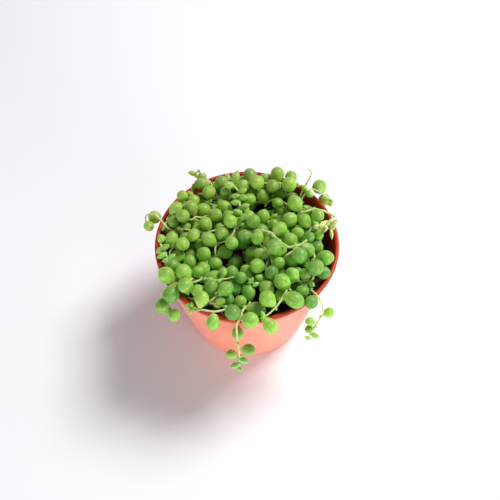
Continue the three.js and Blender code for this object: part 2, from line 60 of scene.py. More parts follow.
# ---------------- sizes
@dataclass(frozen=True)
class PotSizes:
    """The pot and its soil, in millimetres. Z is up from the surface that the pot stands on."""

    rim: float = 52.5
    height: float = 71.0
    base: float = 38.0
    wall: float = 1.2
    lip: float = 1.2
    floor: float = 1.6
    drain_holes: int = 6
    drain_radius: float = 3.5
    drain_ring: float = 25.0
    soil_depth: float = 14.0
    soil_swell: float = 0.7

    @property
    def soil_top(self) -> float:
        """The height of the soil's level surface."""
        return self.height - self.soil_depth

    @property
    def lip_centre(self) -> tuple[float, float]:
        """The radius and height of the middle of the round lip."""
        return self.rim - self.lip, self.height - self.lip

    @property
    def foot_centre(self) -> tuple[float, float]:
        """The radius and height of the wall's middle line at the base."""
        return self.base - self.wall / 2, 0.0

    def inner(self, z: float) -> float:
        """The radius of the inside of the wall at a height."""
        slope = (self.lip_centre[0] - self.foot_centre[0]) / self.lip_centre[1]
        return self.foot_centre[0] + slope * z - self.wall / 2


@dataclass(frozen=True)
class StrandSizes:
    """What every strand is made to, in millimetres. Steps count stem points."""

    root_depth: float = 4.0
    root_points: int = 3
    stem: float = 0.6
    stem_reach: float = 1.3
    step: float = 2.0
    petiole: float = 1.3
    bud: float = 2.3
    bud_stalk: float = -0.3
    first_leaf: int = 6
    leaf_spacing: int = 4
    bud_shares: tuple[float, ...] = (0.54, 0.4, 0.3)
    bud_spacing: tuple[int, ...] = (4, 2, 2)
    turns: tuple[int, ...] = (-60, -40, -20, 0, 20, 40, 60)

    def stand_off(self, radius: float) -> float:
        """How far a leaf's centre stands off the middle of the stem."""
        return radius + self.stem + (self.bud_stalk if radius < self.bud else self.petiole)


@dataclass(frozen=True)
class Habit:
    """How a growing tip seeks its way and where a strand roots, in millimetres and degrees."""

    lift_range: float = 35.0
    skew_range: float = 0.5
    stem_worth: float = 0.5
    turn_cost: float = 0.3
    room_cap: float = 2.0
    haste: float = 0.5
    most_up: float = 1.7
    most_down: float = -0.8
    root_margin: float = 6.0
    root_spacing: float = 4.5
    root_turn: float = 0.2
    corner_cut: float = 0.25
    strand_least: float = 0.92
    strand_range: float = 0.16
    leaf_least: float = 0.9
    leaf_range: float = 0.2
    tip_loss: float = 0.18


@dataclass(frozen=True)
class Crowding:
    """How the strands spread over the pot and make room for each other, in millimetres."""

    crown: tuple[float, float] = (-3.6, 1.2)
    spread: float = 45.0
    crown_reach: float = 47.5
    inside: float = 49.5
    rounds: int = 560
    swelling: float = 0.5
    eagerness: float = 1.3
    loose: float = 0.02
    firm: float = 0.2
    led_give: float = 0.4
    leaf_reach: float = 0.25
    wall_reach: float = 0.1
    refresh: int = 8
    own_points: int = 2
    contact_margin: float = 2.0
    neighbourhood: float = 14.0
    bends: tuple[tuple[int, float], ...] = ((2, 1.93), (4, 3.5))
    start_size: float = 0.3

    def within_crown(self, at: np.ndarray, limit: np.ndarray | float) -> np.ndarray:
        """Points drawn in, level, towards the middle of the crown.

        Args:
            at: The points.
            limit: How far from the middle they may be.

        Returns:
            The points, none of them past the limit.
        """
        off = at[..., :2] - np.array(self.crown)
        over = np.maximum(1.0, np.sqrt((off**2).sum(-1)) / limit)
        drawn = np.array(self.crown) + off / over[..., None]
        return np.concatenate([drawn, at[..., 2:]], -1)

    def from_crown(self, at: np.ndarray) -> float:
        """How far a point is from the middle of the crown, measured level."""
        return math.hypot(at[0] - self.crown[0], at[1] - self.crown[1])


class Life(Enum):
    """Whether a strand is grown, a young shoot or dried out."""

    GREEN = "green"
    YOUNG = "young"
    DRY = "dry"


@dataclass(frozen=True)
class Route:
    """A strand led along a route: x, y and height over the rim; leaves as distance, turn and radius.

    A cut strand ends bluntly, without new leaves at its tip.
    """

    name: str
    way: tuple[tuple[float, float, float], ...]
    leaves: tuple[tuple[float, float, float], ...]
    life: Life = Life.GREEN
    cut: bool = False


@dataclass(frozen=True)
class Layer:
    """Strands that grow by rule at one height of the pot."""

    name: str
    strands: int
    crest: float
    dome: float
    leaves: int
    size: float
    lift: float


@dataclass
class Leaf:
    """A leaf: the stem point it grows from, its radius and its centre."""

    point: int
    radius: float
    centre: np.ndarray


@dataclass
class Strand:
    """A strand: its stem points and its leaves, and how firmly it keeps its place."""

    name: str
    points: list[np.ndarray]
    leaves: list[Leaf]
    hold: float
    life: Life = Life.GREEN
    cut: bool = False


ROUTES = (
    Route(
        "front_trailer",
        ((3, -32, -14), (1, -42, 1), (-4.5, -50.5, 3.4), (-5.5, -56.5, 0), (-4.5, -59.5, -11),
         (-4, -59.5, -28), (-4.6, -59, -44)),
        ((12, 60, 4), (21, -90, 4.2), (29, -80, 4.3), (43, 180, 3.5), (53, -85, 3.4), (58, 95, 2.8),
         (63, -70, 2), (67, 170, 1.6), (71, 60, 2), (76, -30, 1)),
    ),
    Route(
        "right_trailer",
        ((26, -20, -14), (32.7, -30, -1), (37.5, -38.5, 3.2), (41, -41.5, -2), (41.5, -42, -12),
         (39, -42.5, -20), (37, -43, -30), (35, -43.5, -37)),
        ((10, 80, 4), (18, 75, 3.7), (26, 95, 3.7), (45, -90, 2.9), (50, 100, 2.5), (56, 80, 2.3),
         (62, -60, 2), (68, 90, 1)),
    ),
    Route(
        "left_front_strand",
        ((-20, -22, -14), (-28.9, -29.3, 4.5), (-36, -31, 5), (-43.5, -33, 3.4), (-47.5, -35, -3),
         (-45, -39, -9), (-40, -41.5, -11)),
        ((11, 70, 4.1), (22, -70, 4.3), (32, -75, 4.6), (32, 75, 4.5), (46, -20, 4), (53, 60, 1.4),
         (58, 0, 3.6)),
    ),
    Route(
        "front_left_strand",
        ((-6, -36, -14), (-8, -44, 1), (-12.4, -48.5, 3.8), (-20, -48.8, 4), (-27, -46, 3.8),
         (-31.5, -44.5, 2)),
        ((10, -70, 4), (18, -60, 4.2), (27, -105, 3.8), (36, 90, 3.9), (41, -60, 1.5), (45, 20, 1.1)),
    ),
    Route(
        "front_right_strand",
        ((24, -24, -14), (22.5, -33, 3), (21, -37, 7), (18, -43.5, 6), (12.7, -49, 3.8),
         (9, -51.5, 3)),
        ((10, 80, 4), (19, 90, 4.4), (27, -80, 4.6), (36, 85, 4.3), (42, -100, 4), (46, 70, 1.4)),
    ),
    Route(
        "left_strand",
        ((-33, 8, -14), (-40, 6.5, -3), (-45.8, 8.2, 3), (-49.5, 12.3, 4.4), (-53, 15.5, 5),
         (-57, 16.8, 4.2), (-59.5, 15.5, 0), (-58.5, 12, -4.5)),
        ((8, 75, 4), (15, -90, 3.4), (31, 175, 3.9), (43, -60, 3.2)),
    ),
    Route(
        "back_left_strand",
        ((-16, 29, -14), (-18.5, 33, 3), (-21.5, 37.5, 5.5), (-26, 44.5, 4.4), (-29, 49, 3),
         (-31.5, 51.5, 0), (-32, 52, -3)),
        ((10, -80, 4), (12, 80, 3.9), (20, -70, 4), (20, 65, 4), (24, -85, 3.8), (36, 170, 3.2),
         (42, -40, 1.8)),
    ),
    Route(
        "back_rim_strand",
        ((-4, 30, -14), (-2, 34, 0), (0, 37, 6), (5, 37.5, 7), (11, 36.5, 7), (17, 36, 6.5),
         (23, 37, 6), (30, 37.8, 4.6)),
        ((12, 70, 4), (20, 60, 3.8), (24, -70, 4.2), (28, 80, 4.4), (36, 80, 3.9), (40, -80, 4.1),
         (44, 75, 4.6), (50, -70, 3.7)),
    ),
    Route(
        "back_right_strand",
        ((26, 22, -14), (31, 27, 1), (35, 31.5, 5.5), (38.5, 33, 6.3), (42, 31, 5.8), (46, 29.5, 4),
         (49.5, 28.5, 0.5), (50, 29.5, -3)),
        ((10, 80, 4), (16, -85, 4), (22, 75, 2.2), (24, -60, 2), (32, -100, 4.3), (40, -130, 3.8)),
    ),
    Route(
        "right_strand",
        ((22, 12, -14), (27, 12, 2), (31, 12.5, 8), (36, 15, 8.5), (41, 17, 6.8), (46, 17, 4.6),
         (51.8, 14.2, 2.4)),
        ((10, -85, 4.1), (20, 80, 4.2), (24, -90, 4.3), (32, 100, 3.7)),
        cut=True,
    ),
    Route(
        "crossing_strand",
        ((-2, 6, -14), (1, 2, 4), (4, 0.5, 9), (8.4, -0.2, 10.5), (13.4, -3.9, 11), (18, -9, 11.5),
         (22.4, -13.5, 12), (25, -14.2, 12.2), (29, -11.8, 12.8), (32.8, -9.3, 13)),
        ((9, 80, 4), (20, -80, 4), (28, 120, 3.6), (36, -95, 4.1), (44, 100, 4.2), (50, 110, 4.4),
         (55, 130, 4.3)),
        cut=True,
    ),
    Route(
        "right_edge_strand",
        ((34, -4, -14), (36, -5, -3), (37, -7, 2), (37.5, -12, 3), (37, -18, 2.5), (36, -23, 3),
         (33.5, -28, 3), (31, -31.5, 1.5)),
        ((11, -60, 4), (23, -50, 4.3), (32, -70, 3.8), (36, 40, 4.5), (41, -60, 1.8)),
    ),
    Route(
        "left_rim_shoot",
        ((-36, -4, -14), (-41, -2, -4), (-45.5, 1, 1.5), (-47.5, -3, 3.2), (-46.5, -8, 3.6),
         (-44.5, -13, 3.4), (-42, -17.5, 3)),
        ((12, 60, 2.6), (16, -70, 2.2), (20, 80, 2.2), (23, -60, 2), (26, 90, 2.1), (29, -70, 1.9),
         (32, 70, 2), (35, -80, 1.8), (38, 40, 1.4)),
        Life.YOUNG,
    ),
    Route(
        "crown_shoot",
        ((-10, 28, -14), (-11, 32, 0), (-9.5, 36, 7), (-6, 32, 9.5), (-4, 25, 9.8), (-4.5, 18, 9.6),
         (-2.5, 11, 9), (-3, 5, 7.5)),
        ((20, 70, 3.1), (24, -70, 2.9), (28, 60, 2.5), (31, -80, 2.2), (34, 80, 2.1), (37, -60, 2.2),
         (41, 70, 2), (44, -80, 2.2), (48, 80, 2), (51, -60, 2.1), (54, 60, 1.6)),
        Life.YOUNG,
    ),
    Route(
        "withered_shoot",
        ((34, 4, -14), (37, 4, -2), (41, 3.5, 4), (45, 3, 7.6), (48.5, 1.5, 8.4)),
        ((16, -110, 2.2), (20, 90, 2.4), (20, -80, 2.3), (24, 70, 2.4), (24, -80, 2.3), (28, 0, 2.2),
         (28, 120, 2.1)),
        Life.DRY,
    ),
    Route(
        "dry_tendril",
        ((29, 32, -14), (32.5, 35, 0), (34.4, 36, 5), (36.1, 37.3, 8), (37.9, 38.8, 12),
         (37.6, 39.4, 15), (35.6, 39.2, 17)),
        (),
        Life.DRY,
    ),
)

LAYERS = (
    Layer("low", strands=6, crest=4.2, dome=0, leaves=6, size=3.8, lift=25),
    Layer("middle", strands=8, crest=9.5, dome=2, leaves=6, size=3.95, lift=10),
    Layer("top", strands=11, crest=14, dome=4, leaves=7, size=4.1, lift=0),
)


# ---------------- growing
def snapped(values: np.ndarray | float) -> np.ndarray | float:
    """Lengths to a millionth of a millimetre, which keeps every machine's plant the same."""
    return np.floor(values * SNAPS_PER_MM + 0.5) / SNAPS_PER_MM


def length(vector: np.ndarray) -> float:
    """The length of a vector."""
    return math.sqrt(float(vector @ vector))


def unit(vector: np.ndarray) -> np.ndarray:
    """The vector at a length of 1."""
    return vector / length(vector)


@dataclass
class Chance:
    """Numbers from 0 to 1 that are the same in every run."""

    state: int
    factor: int = 1664525
    addend: int = 1013904223
    modulus: int = 4294967296

    def draw(self) -> float:
        """The next number."""
        self.state = (self.state * self.factor + self.addend) % self.modulus
        return self.state / self.modulus


@dataclass
class Grower:
    """Grows every strand of the plant, before they make room for each other."""

    pot: PotSizes
    sizes: StrandSizes
    crowding: Crowding
    chance: Chance
    habit: Habit = Habit()

    def _smoothed(self, way: list[np.ndarray]) -> list[np.ndarray]:
        """A route with its corners cut twice, so that it bends as a stem does.

        Args:
            way: The route's corners.

        Returns:
            The points of the rounded route.
        """
        points, near = way, self.habit.corner_cut
        for _ in range(2):
            cut = [points[0]]
            for start, end in zip(points, points[1:]):
                cut += [start + near * (end - start), start + (1 - near) * (end - start)]
            points = [*cut, points[-1]]
        return points

    def _paced(self, way: list[np.ndarray]) -> list[np.ndarray]:
        """Points at every step along a route, the first one included.

        Args:
            way: The route's points.

        Returns:
            The evenly spaced points, up to the last whole step.
        """
        made, left = [way[0]], self.sizes.step
        for start, end in zip(way, way[1:]):
            leg = end - start
            size = length(leg)
            along = left
            while along <= size:
                made.append(start + leg * (along / size))
                along += self.sizes.step
            left = along - size
        return made

    def _buried(self, x: float, y: float) -> list[np.ndarray]:
        """The stem points of a root, from the deepest up to the soil's surface."""
        depth = self.sizes.root_depth
        return [np.array([x, y, self.pot.soil_top - down]) for down in (depth, depth / 2, 0.0)]

    def _across(self, tangent: np.ndarray, at: np.ndarray, turn: float) -> np.ndarray:
        """The direction across a stem, turned from its upper or outer side by degrees.

        Args:
            tangent: The way the stem runs.
            at: The place on the stem.
            turn: The turn in degrees, positive to the stem's left when it runs outwards.

        Returns:
            The direction, one long.
        """
        out = unit(np.array([at[0], at[1], 0.0]))
        raised = np.array([out[0] / 2, out[1] / 2, 1.0])
        up = unit(raised - tangent * float(raised @ tangent))
        side = np.cross(tangent, up)
        angle = math.radians(turn)
        return up * math.cos(angle) + side * math.sin(angle)

    def led(self, route: Route) -> Strand:
        """A strand that follows a route.

        Args:
            route: The route and the leaves along it.

        Returns:
            The strand, which keeps firmly to its place.
        """
        way = [np.array([x, y, z + self.pot.height]) for x, y, z in route.way]
        root = self._buried(way[0][0], way[0][1])[:-1]
        points = root + self._paced(self._smoothed(way))
        last = len(points) - 1
        leaves = []
        for along, turn, radius in route.leaves:
            # Leaves grow only at every other point of a stem.
            pairs = math.floor(along / self.sizes.step / 2 + 0.5)
            point = min(last - last % 2, len(root) + 2 * pairs)
            tangent = unit(points[min(last, point + 1)] - points[point - 1])
            way_out = self._across(tangent, points[point], turn)
            centre = points[point] + way_out * self.sizes.stand_off(radius)
            leaves.append(Leaf(point, float(radius), centre))
        points = [snapped(point) for point in points]
        return Strand(route.name, points, leaves, self.crowding.firm, route.life, route.cut)

    def _leaf_plan(self, layer: Layer) -> list[tuple[int, float]]:
        """Where a strand that grows by rule carries its leaves, and how large they are.

        Args:
            layer: The layer that the strand belongs to.

        Returns:
            The stem point and the radius of each leaf and bud, from the root to the tip.
        """
        sizes, habit, plan = self.sizes, self.habit, []
        own = layer.size * (habit.strand_least + habit.strand_range * self.chance.draw())
        point = sizes.first_leaf
        for i in range(layer.leaves):
            radius = own * (habit.leaf_least + habit.leaf_range * self.chance.draw())
            plan.append((point, radius * (1 - habit.tip_loss * (i / layer.leaves) ** 2)))
            point += sizes.leaf_spacing
        for i, share in enumerate(sizes.bud_shares):
            point += sizes.bud_spacing[i] - (0 if i else sizes.leaf_spacing)
            plan.append((point, own * share))
        return plan

    def _advanced(
        self, start: np.ndarray, heading: float, turn: float, count: int, layer: Layer
    ) -> list[np.ndarray]:
        """The next stem points of a growing tip that turns on its way.

        Args:
            start: The stem's last point.
            heading: The way it heads, level, in radians.
            turn: How far it turns on the way, in radians.
            count: How many points are added.
            layer: The layer, which says how high the stem climbs.

        Returns:
            The added points.
        """
        made, at = [], start
        crowding, habit, step = self.crowding, self.habit, self.sizes.step
        for i in range(1, count + 1):
            angle = heading + turn * i / count
            share = crowding.from_crown(at) / crowding.spread
            aim = self.pot.soil_top + layer.crest + layer.dome * (1 - share * share)
            climb = max(habit.most_down, min(habit.most_up, (aim - at[2]) * habit.haste))
            level = math.sqrt(step * step - climb * climb)
            ahead = at + np.array([level * math.cos(angle), level * math.sin(angle), climb])
            at = snapped(crowding.within_crown(ahead, crowding.spread))
            made.append(at)
        return made

    def _room(self, centre: np.ndarray, radius: float, placed: list[Leaf]) -> float:
        """The least room between a ball and the leaves that are already there.

        Args:
            centre: The ball's centre.
            radius: The ball's radius.
            placed: The leaves.

        Returns:
            The room, at most 1 mm over its cap.
        """
        least = self.habit.room_cap + 1
        for leaf in placed:
            least = min(least, length(centre - leaf.centre) - radius - leaf.radius)
        return least

    def _next_leaf(
        self, tip: np.ndarray, heading: float, hand: int, count: int, radius: float,
        layer: Layer, placed: list[Leaf],
    ) -> tuple[float, list[np.ndarray], np.ndarray]:
        """The turn, stem points and leaf centre that give a tip's next leaf the most room.

        Args:
            tip: The stem's last point.
            heading: The way it heads, level, in radians.
            hand: The side of the stem that the leaf is on, 1 or -1.
            count: How many stem points there are up to the leaf.
            radius: The leaf's radius.
            layer: The strand's layer.
            placed: The leaves of the strands before it.

        Returns:
            The best of the turns that a stem may take, with what follows from it.
        """
        habit = self.habit
        lift = math.radians(layer.lift + habit.lift_range * self.chance.draw())
        skew = habit.skew_range * (self.chance.draw() - 0.5)
        best, found = -math.inf, None
        for degrees in self.sizes.turns:
            turn = math.radians(degrees)
            path = self._advanced(tip, heading, turn, count, layer)
            side = heading + turn + hand * (math.pi / 2 + skew)
            level = math.cos(lift)
            way = np.array([math.cos(side) * level, math.sin(side) * level, math.sin(lift)])
            centre = snapped(path[-1] + way * self.sizes.stand_off(radius))
            inside = self.crowding.inside - length(centre[:2])
            wall = min(inside, self.crowding.crown_reach - self.crowding.from_crown(centre)) - radius
            score = snapped(
                min(self._room(centre, radius, placed), wall, habit.room_cap)
                + habit.stem_worth * self._room(path[-1], self.sizes.stem_reach, placed)
                - habit.turn_cost * abs(turn)
            )
            if score > best:
                best, found = score, (turn, path, centre)
        return found

    def grown(self, name: str, root: np.ndarray, layer: Layer, placed: list[Leaf]) -> Strand:
        """A strand that grows by rule: its tip turns to where there is most room.

        Args:
            name: The strand's name.
            root: Where it leaves the soil.
            layer: The layer it belongs to.
            placed: The leaves of the strands before it.

        Returns:
            The strand, which gives way easily.
        """
        points, leaves = self._buried(root[0], root[1]), []
        heading = 2 * math.pi * self.chance.draw()
        hand = -1 if self.chance.draw() < 0.5 else 1
        for point, radius in self._leaf_plan(layer):
            count = point - len(points) + 1
            turn, path, centre = self._next_leaf(
                points[-1], heading, hand, count, radius, layer, placed
            )
            heading, hand = heading + turn, -hand
            points += path
            leaves.append(Leaf(point, radius, centre))
        return Strand(name, points, leaves, self.crowding.loose)

    def _free_root(self, reach: float, angle: float, strands: list[Strand]) -> np.ndarray:
        """A place for a root that is clear of the others.

        Args:
            reach: How far it is from the crown's middle.
            angle: The way to it from there, which turns until the place is clear.
            strands: The strands that have their places.

        Returns:
            The place, as x and y.
        """
        way = np.array([math.cos(angle), math.sin(angle)])
        root = snapped(np.array(self.crowding.crown) + reach * way)
        if any(length(strand.points[0][:2] - root) < self.habit.root_spacing for strand in strands):
            return self._free_root(reach, angle + self.habit.root_turn, strands)
        return root

    def planted(self) -> list[Strand]:
        """Every strand, the led ones first and then each layer from the soil up.

        Returns:
            The strands in the order in which they were planted.
        """
        strands = [self.led(route) for route in ROUTES]
        placed = [leaf for strand in strands for leaf in strand.leaves]
        golden = math.pi * (3 - math.sqrt(5))
        widest = self.crowding.spread - self.habit.root_margin
        for layer in LAYERS:
            start = 2 * math.pi * self.chance.draw()
            for i in range(layer.strands):
                reach = widest * math.sqrt((i + 0.5) / layer.strands)
                root = self._free_root(reach, start + i * golden, strands)
                strands.append(self.grown(f"{layer.name}_strand_{i + 1}", root, layer, placed))
                placed += strands[-1].leaves
        return strands


@dataclass
class Beads:
    """Stem points and leaves as balls, one entry of each array for a ball."""

    at: np.ndarray
    reach: np.ndarray
    strand: np.ndarray
    point: np.ndarray
    hold: np.ndarray
    free: np.ndarray
    leaf: np.ndarray


@dataclass
class Links:
    """Pairs of beads, and the least and the greatest length between each pair."""

    first: np.ndarray
    second: np.ndarray
    least: np.ndarray
    most: np.ndarray


@dataclass
class Settler:
    """Makes the strands of a plant take room from each other.

    It lessens overlaps but doesn't rule them out: the seed has to be one that it can clear.
    """

    pot: PotSizes
    sizes: StrandSizes
    crowding: Crowding

    def _beaded(self, strands: list[Strand]) -> tuple[Beads, Links]:
        """The strands as beads, and the links that hold each one together.

        Args:
            strands: The strands as they grew.

        Returns:
            The beads, a strand's stem before its leaves, and the links.
        """
        rows, links, step = [], [], self.sizes.step
        bends = [(1, step, step)]
        bends += [(back, step * steps, math.inf) for back, steps in self.crowding.bends]
        for number, strand in enumerate(strands):
            first = len(rows)
            give = self.crowding.led_give if strand.hold > self.crowding.loose else 1.0
            for k, at in enumerate(strand.points):
                free = give if k >= self.sizes.root_points else 0.0
                rows.append((*at, self.sizes.stem_reach, number, k, strand.hold, free, 0))
                links += [(first + k - back, first + k, *limits) for back, *limits in bends if k >= back]
            for leaf in strand.leaves:
                off = self.sizes.stand_off(leaf.radius)
                links.append((first + leaf.point, len(rows), off, off))
                reach = leaf.radius + self.crowding.leaf_reach
                rows.append((*leaf.centre, reach, number, leaf.point, strand.hold, give, 1))
        table, pairs = np.array(rows), np.array(links)
        beads = Beads(
            table[:, :3], table[:, 3], table[:, 4], table[:, 5], table[:, 6], table[:, 7],
            table[:, 8] > 0,
        )
        ends = pairs[:, :2].astype(int)
        return beads, Links(ends[:, 0], ends[:, 1], pairs[:, 2], pairs[:, 3])

    def _may_meet(self, beads: Beads) -> np.ndarray:
        """Which pairs of beads can meet.

        Args:
            beads: The beads.

        Returns:
            A table with each pair once, without a stem's own neighbours.
        """
        same = beads.strand[:, None] == beads.strand[None, :]
        close = np.abs(beads.point[:, None] - beads.point[None, :]) <= self.crowding.own_points
        joined = same & close & ~(beads.leaf[:, None] & beads.leaf[None, :])
        return np.triu(~joined, 1)

    def _contacts(self, beads: Beads, may_meet: np.ndarray) -> Links:
        """The pairs of beads that are near enough to meet.

        Args:
            beads: The beads.
            may_meet: Which pairs can meet.

        Returns:
            The pairs, each kept apart by its own sizes.
        """
        x, y, z = (beads.at[:, k, None] - beads.at[None, :, k] for k in range(3))
        near = beads.reach[:, None] + beads.reach[None, :] + self.crowding.contact_margin
        first, second = np.nonzero((x * x + y * y + z * z < near * near) & may_meet)
        least = beads.reach[first] + beads.reach[second]
        return Links(first, second, least, np.full(len(first), math.inf))

    def _shifts(self, beads: Beads, held: Links, touching: Links, grown: float) -> np.ndarray:
        """How far each bead is moved in one round by its links and contacts.

        Args:
            beads: The beads.
            held: The links within the strands.
            touching: The contacts between beads.
            grown: How much of their size the beads have reached.

        Returns:
            One row for each bead.
        """
        first = np.concatenate([held.first, touching.first])
        second = np.concatenate([held.second, touching.second])
        least = np.concatenate([held.least, touching.least])
        most = np.concatenate([held.most, touching.most])
        least = np.where(np.isinf(most), least * grown, least)
        line = beads.at[second] - beads.at[first]
        apart = np.sqrt((line**2).sum(1))
        wanted = np.minimum(most, np.maximum(least, apart))
        free = beads.free[first] + beads.free[second]
        busy = (wanted != apart) & (free > 0)
        first, second, line, free = first[busy], second[busy], line[busy], free[busy]
        share = (apart[busy] - wanted[busy]) / apart[busy] / free
        ends = np.concatenate([first, second])
        pull = np.concatenate([share * beads.free[first], -share * beads.free[second]])
        line = np.concatenate([line, line]) * pull[:, None]
        size = len(beads.at)
        count = np.maximum(1, np.bincount(ends, minlength=size))
        moved = np.stack([np.bincount(ends, line[:, k], size) for k in range(3)], 1)
        return moved * self.crowding.eagerness / count[:, None]

    @staticmethod
    def _pushed_off(place: np.ndarray, middle: np.ndarray, clearance: np.ndarray) -> np.ndarray:
        """Places in the plane of radius and height, pushed off round obstacles.

        Args:
            place: The places.
            middle: The middle of each one's obstacle.
            clearance: How far off each has to be.

        Returns:
            The places, clear of their obstacles.
        """
        gap = place - middle
        distance = np.sqrt((gap**2).sum(1))
        grow = np.where(distance < clearance, clearance / distance, 1.0)
        return middle + gap * grow[:, None]

    def _clear_of_pot(self, at: np.ndarray, beads: Beads) -> np.ndarray:
        """The beads' places once they are clear of the wall, the lip and the soil.

        Args:
            at: Where the beads would be.
            beads: The beads, for their sizes and how loose they are.

        Returns:
            The places, in the same order.
        """
        pot, crowding = self.pot, self.crowding
        loose = beads.hold <= crowding.loose
        drawn = crowding.within_crown(at, crowding.crown_reach - beads.reach)
        at = np.where(loose[:, None], drawn, at)
        foot, lip = np.array(pot.foot_centre), np.array(pot.lip_centre)
        out = np.sqrt(at[:, 0] ** 2 + at[:, 1] ** 2)
        place = np.stack([out, at[:, 2]], 1)
        share = np.clip((place - foot) @ (lip - foot) / ((lip - foot) @ (lip - foot)), 0, 1)
        wall = foot + share[:, None] * (lip - foot)
        kept_in = np.minimum(out, crowding.inside - beads.reach)
        place[:, 0] = np.where(loose, kept_in, out)
        reach = crowding.wall_reach + beads.reach
        place = self._pushed_off(place, wall, pot.wall / 2 + reach)
        place = self._pushed_off(place, np.tile(lip, (len(at), 1)), pot.lip + reach)
        floor = pot.soil_top + pot.soil_swell + beads.reach
        height = np.where(place[:, 0] < wall[:, 0], np.maximum(place[:, 1], floor), place[:, 1])
        turn = place[:, 0] / out
        return snapped(np.stack([at[:, 0] * turn, at[:, 1] * turn, height], 1))

    def settled(self, strands: list[Strand]) -> list[Strand]:
        """The strands once they have made room for each other.

        Args:
            strands: The strands as they grew.

        Returns:
            The same strands in their final places, each leaf no larger than its room.
        """
        beads, links = self._beaded(strands)
        home, rounds, start = beads.at.copy(), self.crowding.rounds, self.crowding.start_size
        touching, may_meet = None, self._may_meet(beads)
        for number in range(rounds):
            if number % self.crowding.refresh == 0:
                touching = self._contacts(beads, may_meet)
            grown = min(1.0, start + (1 - start) * number / (rounds * self.crowding.swelling))
            moved = beads.at + self._shifts(beads, links, touching, grown)
            homing = beads.hold[:, None] if number < rounds / 2 else 0.0
            moved = self._clear_of_pot(moved + (home - moved) * homing, beads)
            beads.at = np.where(beads.free[:, None] > 0, moved, beads.at)
        return [self._regrouped(strand, k, beads) for k, strand in enumerate(strands)]

    def _regrouped(self, strand: Strand, number: int, beads: Beads) -> Strand:
        """One strand made again from its settled beads.

        Args:
            strand: The strand as it grew.
            number: Its place in the order of planting.
            beads: Every bead in its final place.

        Returns:
            The strand, each leaf no larger than its room.
        """
        own, other = beads.strand == number, beads.strand != number
        points = list(beads.at[own & ~beads.leaf])
        leaves = []
        for leaf, centre in zip(strand.leaves, beads.at[own & beads.leaf]):
            gaps = np.sqrt(((beads.at[other] - centre) ** 2).sum(1))
            near = gaps < self.crowding.neighbourhood
            spare = (gaps[near] - beads.reach[other][near]).min(initial=self.crowding.neighbourhood)
            leaves.append(Leaf(leaf.point, min(leaf.radius, float(spare)), centre))
        return Strand(strand.name, points, leaves, strand.hold, strand.life, strand.cut)


# ---------------- node tools
Colour = tuple[float, float, float, float]
Feed = object


def colour(red: int, green: int, blue: int) -> Colour:
    """A screen colour as the linear colour that a shader takes.

    Args:
        red: The red part, from 0 to 255.
        green: The green part.
        blue: The blue part.

    Returns:
        The colour, with full cover.
    """
    shares = (red / 255, green / 255, blue / 255)
    line = [s / 12.92 if s <= 0.04045 else ((s + 0.055) / 1.055) ** 2.4 for s in shares]
    return line[0], line[1], line[2], 1.0


class Graph:
    """Adds nodes to a tree and links them."""

    def __init__(self, tree: NodeTree) -> None:
        """Keeps the tree that the nodes go into."""
        self.tree = tree

    def feed(self, node: Node, key: int | str, value: Feed) -> None:
        """Gives one input of a node a value, or a link from a socket or a node's first output.

        Args:
            node: The node that is fed.
            key: The input's place, identifier or name.
            value: A plain value, a socket or a node.
        """
        if isinstance(key, int):
            socket = node.inputs[key]
        else:
            usable = [s for s in node.inputs if s.enabled]
            socket = next(s for s in usable if key in (s.identifier, s.name))
        if isinstance(value, Node):
            value = next(s for s in value.outputs if s.enabled)
        if isinstance(value, NodeSocket):
            self.tree.links.new(value, socket)
        else:
            socket.default_value = value

    def add(self, kind: str, feeds: dict | None = None, **settings: object) -> Node:
        """Adds a node.

        Args:
            kind: The node's type name.
            feeds: What each input takes, by place, identifier or name.
            settings: The node's own properties.

        Returns:
            The new node.
        """
        node = self.tree.nodes.new(kind)
        for name, value in settings.items():
            setattr(node, name, value)
        for key, value in (feeds or {}).items():
            self.feed(node, key, value)
        return node

    def maths(self, operation: str, *terms: Feed) -> Node:
        """A sum or other operation on numbers."""
        return self.add("ShaderNodeMath", dict(enumerate(terms)), operation=operation)

    def times(self, first: Feed, second: Feed) -> Node:
        """One number times another."""
        return self.maths("MULTIPLY", first, second)

    def vector(self, operation: str, *terms: Feed) -> Node:
        """A sum or other operation on vectors."""
        return self.add("ShaderNodeVectorMath", dict(enumerate(terms)), operation=operation)

    def scaled(self, vector: Feed, factor: Feed) -> Node:
        """A vector times a number."""
        return self.add("ShaderNodeVectorMath", {0: vector, "Scale": factor}, operation="SCALE")

    def parts(self, vector: Feed) -> tuple[NodeSocket, ...]:
        """The x, y and z of a vector."""
        return tuple(self.add("ShaderNodeSeparateXYZ", {0: vector}).outputs)

    def span(
        self, value: Feed, low: Feed, high: Feed, start: Feed = 0.0, end: Feed = 1.0
    ) -> Node:
        """A number carried smoothly from one span to another, and held at its ends."""
        feeds = {"Value": value, "From Min": low, "From Max": high, "To Min": start, "To Max": end}
        return self.add("ShaderNodeMapRange", feeds, interpolation_type="SMOOTHSTEP")

    def noise(
        self, vector: Feed, scale: Feed, detail: float = 2.0, roughness: float = 0.5
    ) -> Node:
        """Soft cloudy noise from 0 to 1."""
        feeds = {"Vector": vector, "Scale": scale, "Detail": detail, "Roughness": roughness}
        return self.add("ShaderNodeTexNoise", feeds)

    def blend(self, factor: Feed, first: Feed, second: Feed, way: str = "MIX") -> Node:
        """One colour carried towards another."""
        feeds = {"Factor_Float": factor, "A_Color": first, "B_Color": second}
        return self.add("ShaderNodeMix", feeds, data_type="RGBA", blend_type=way)


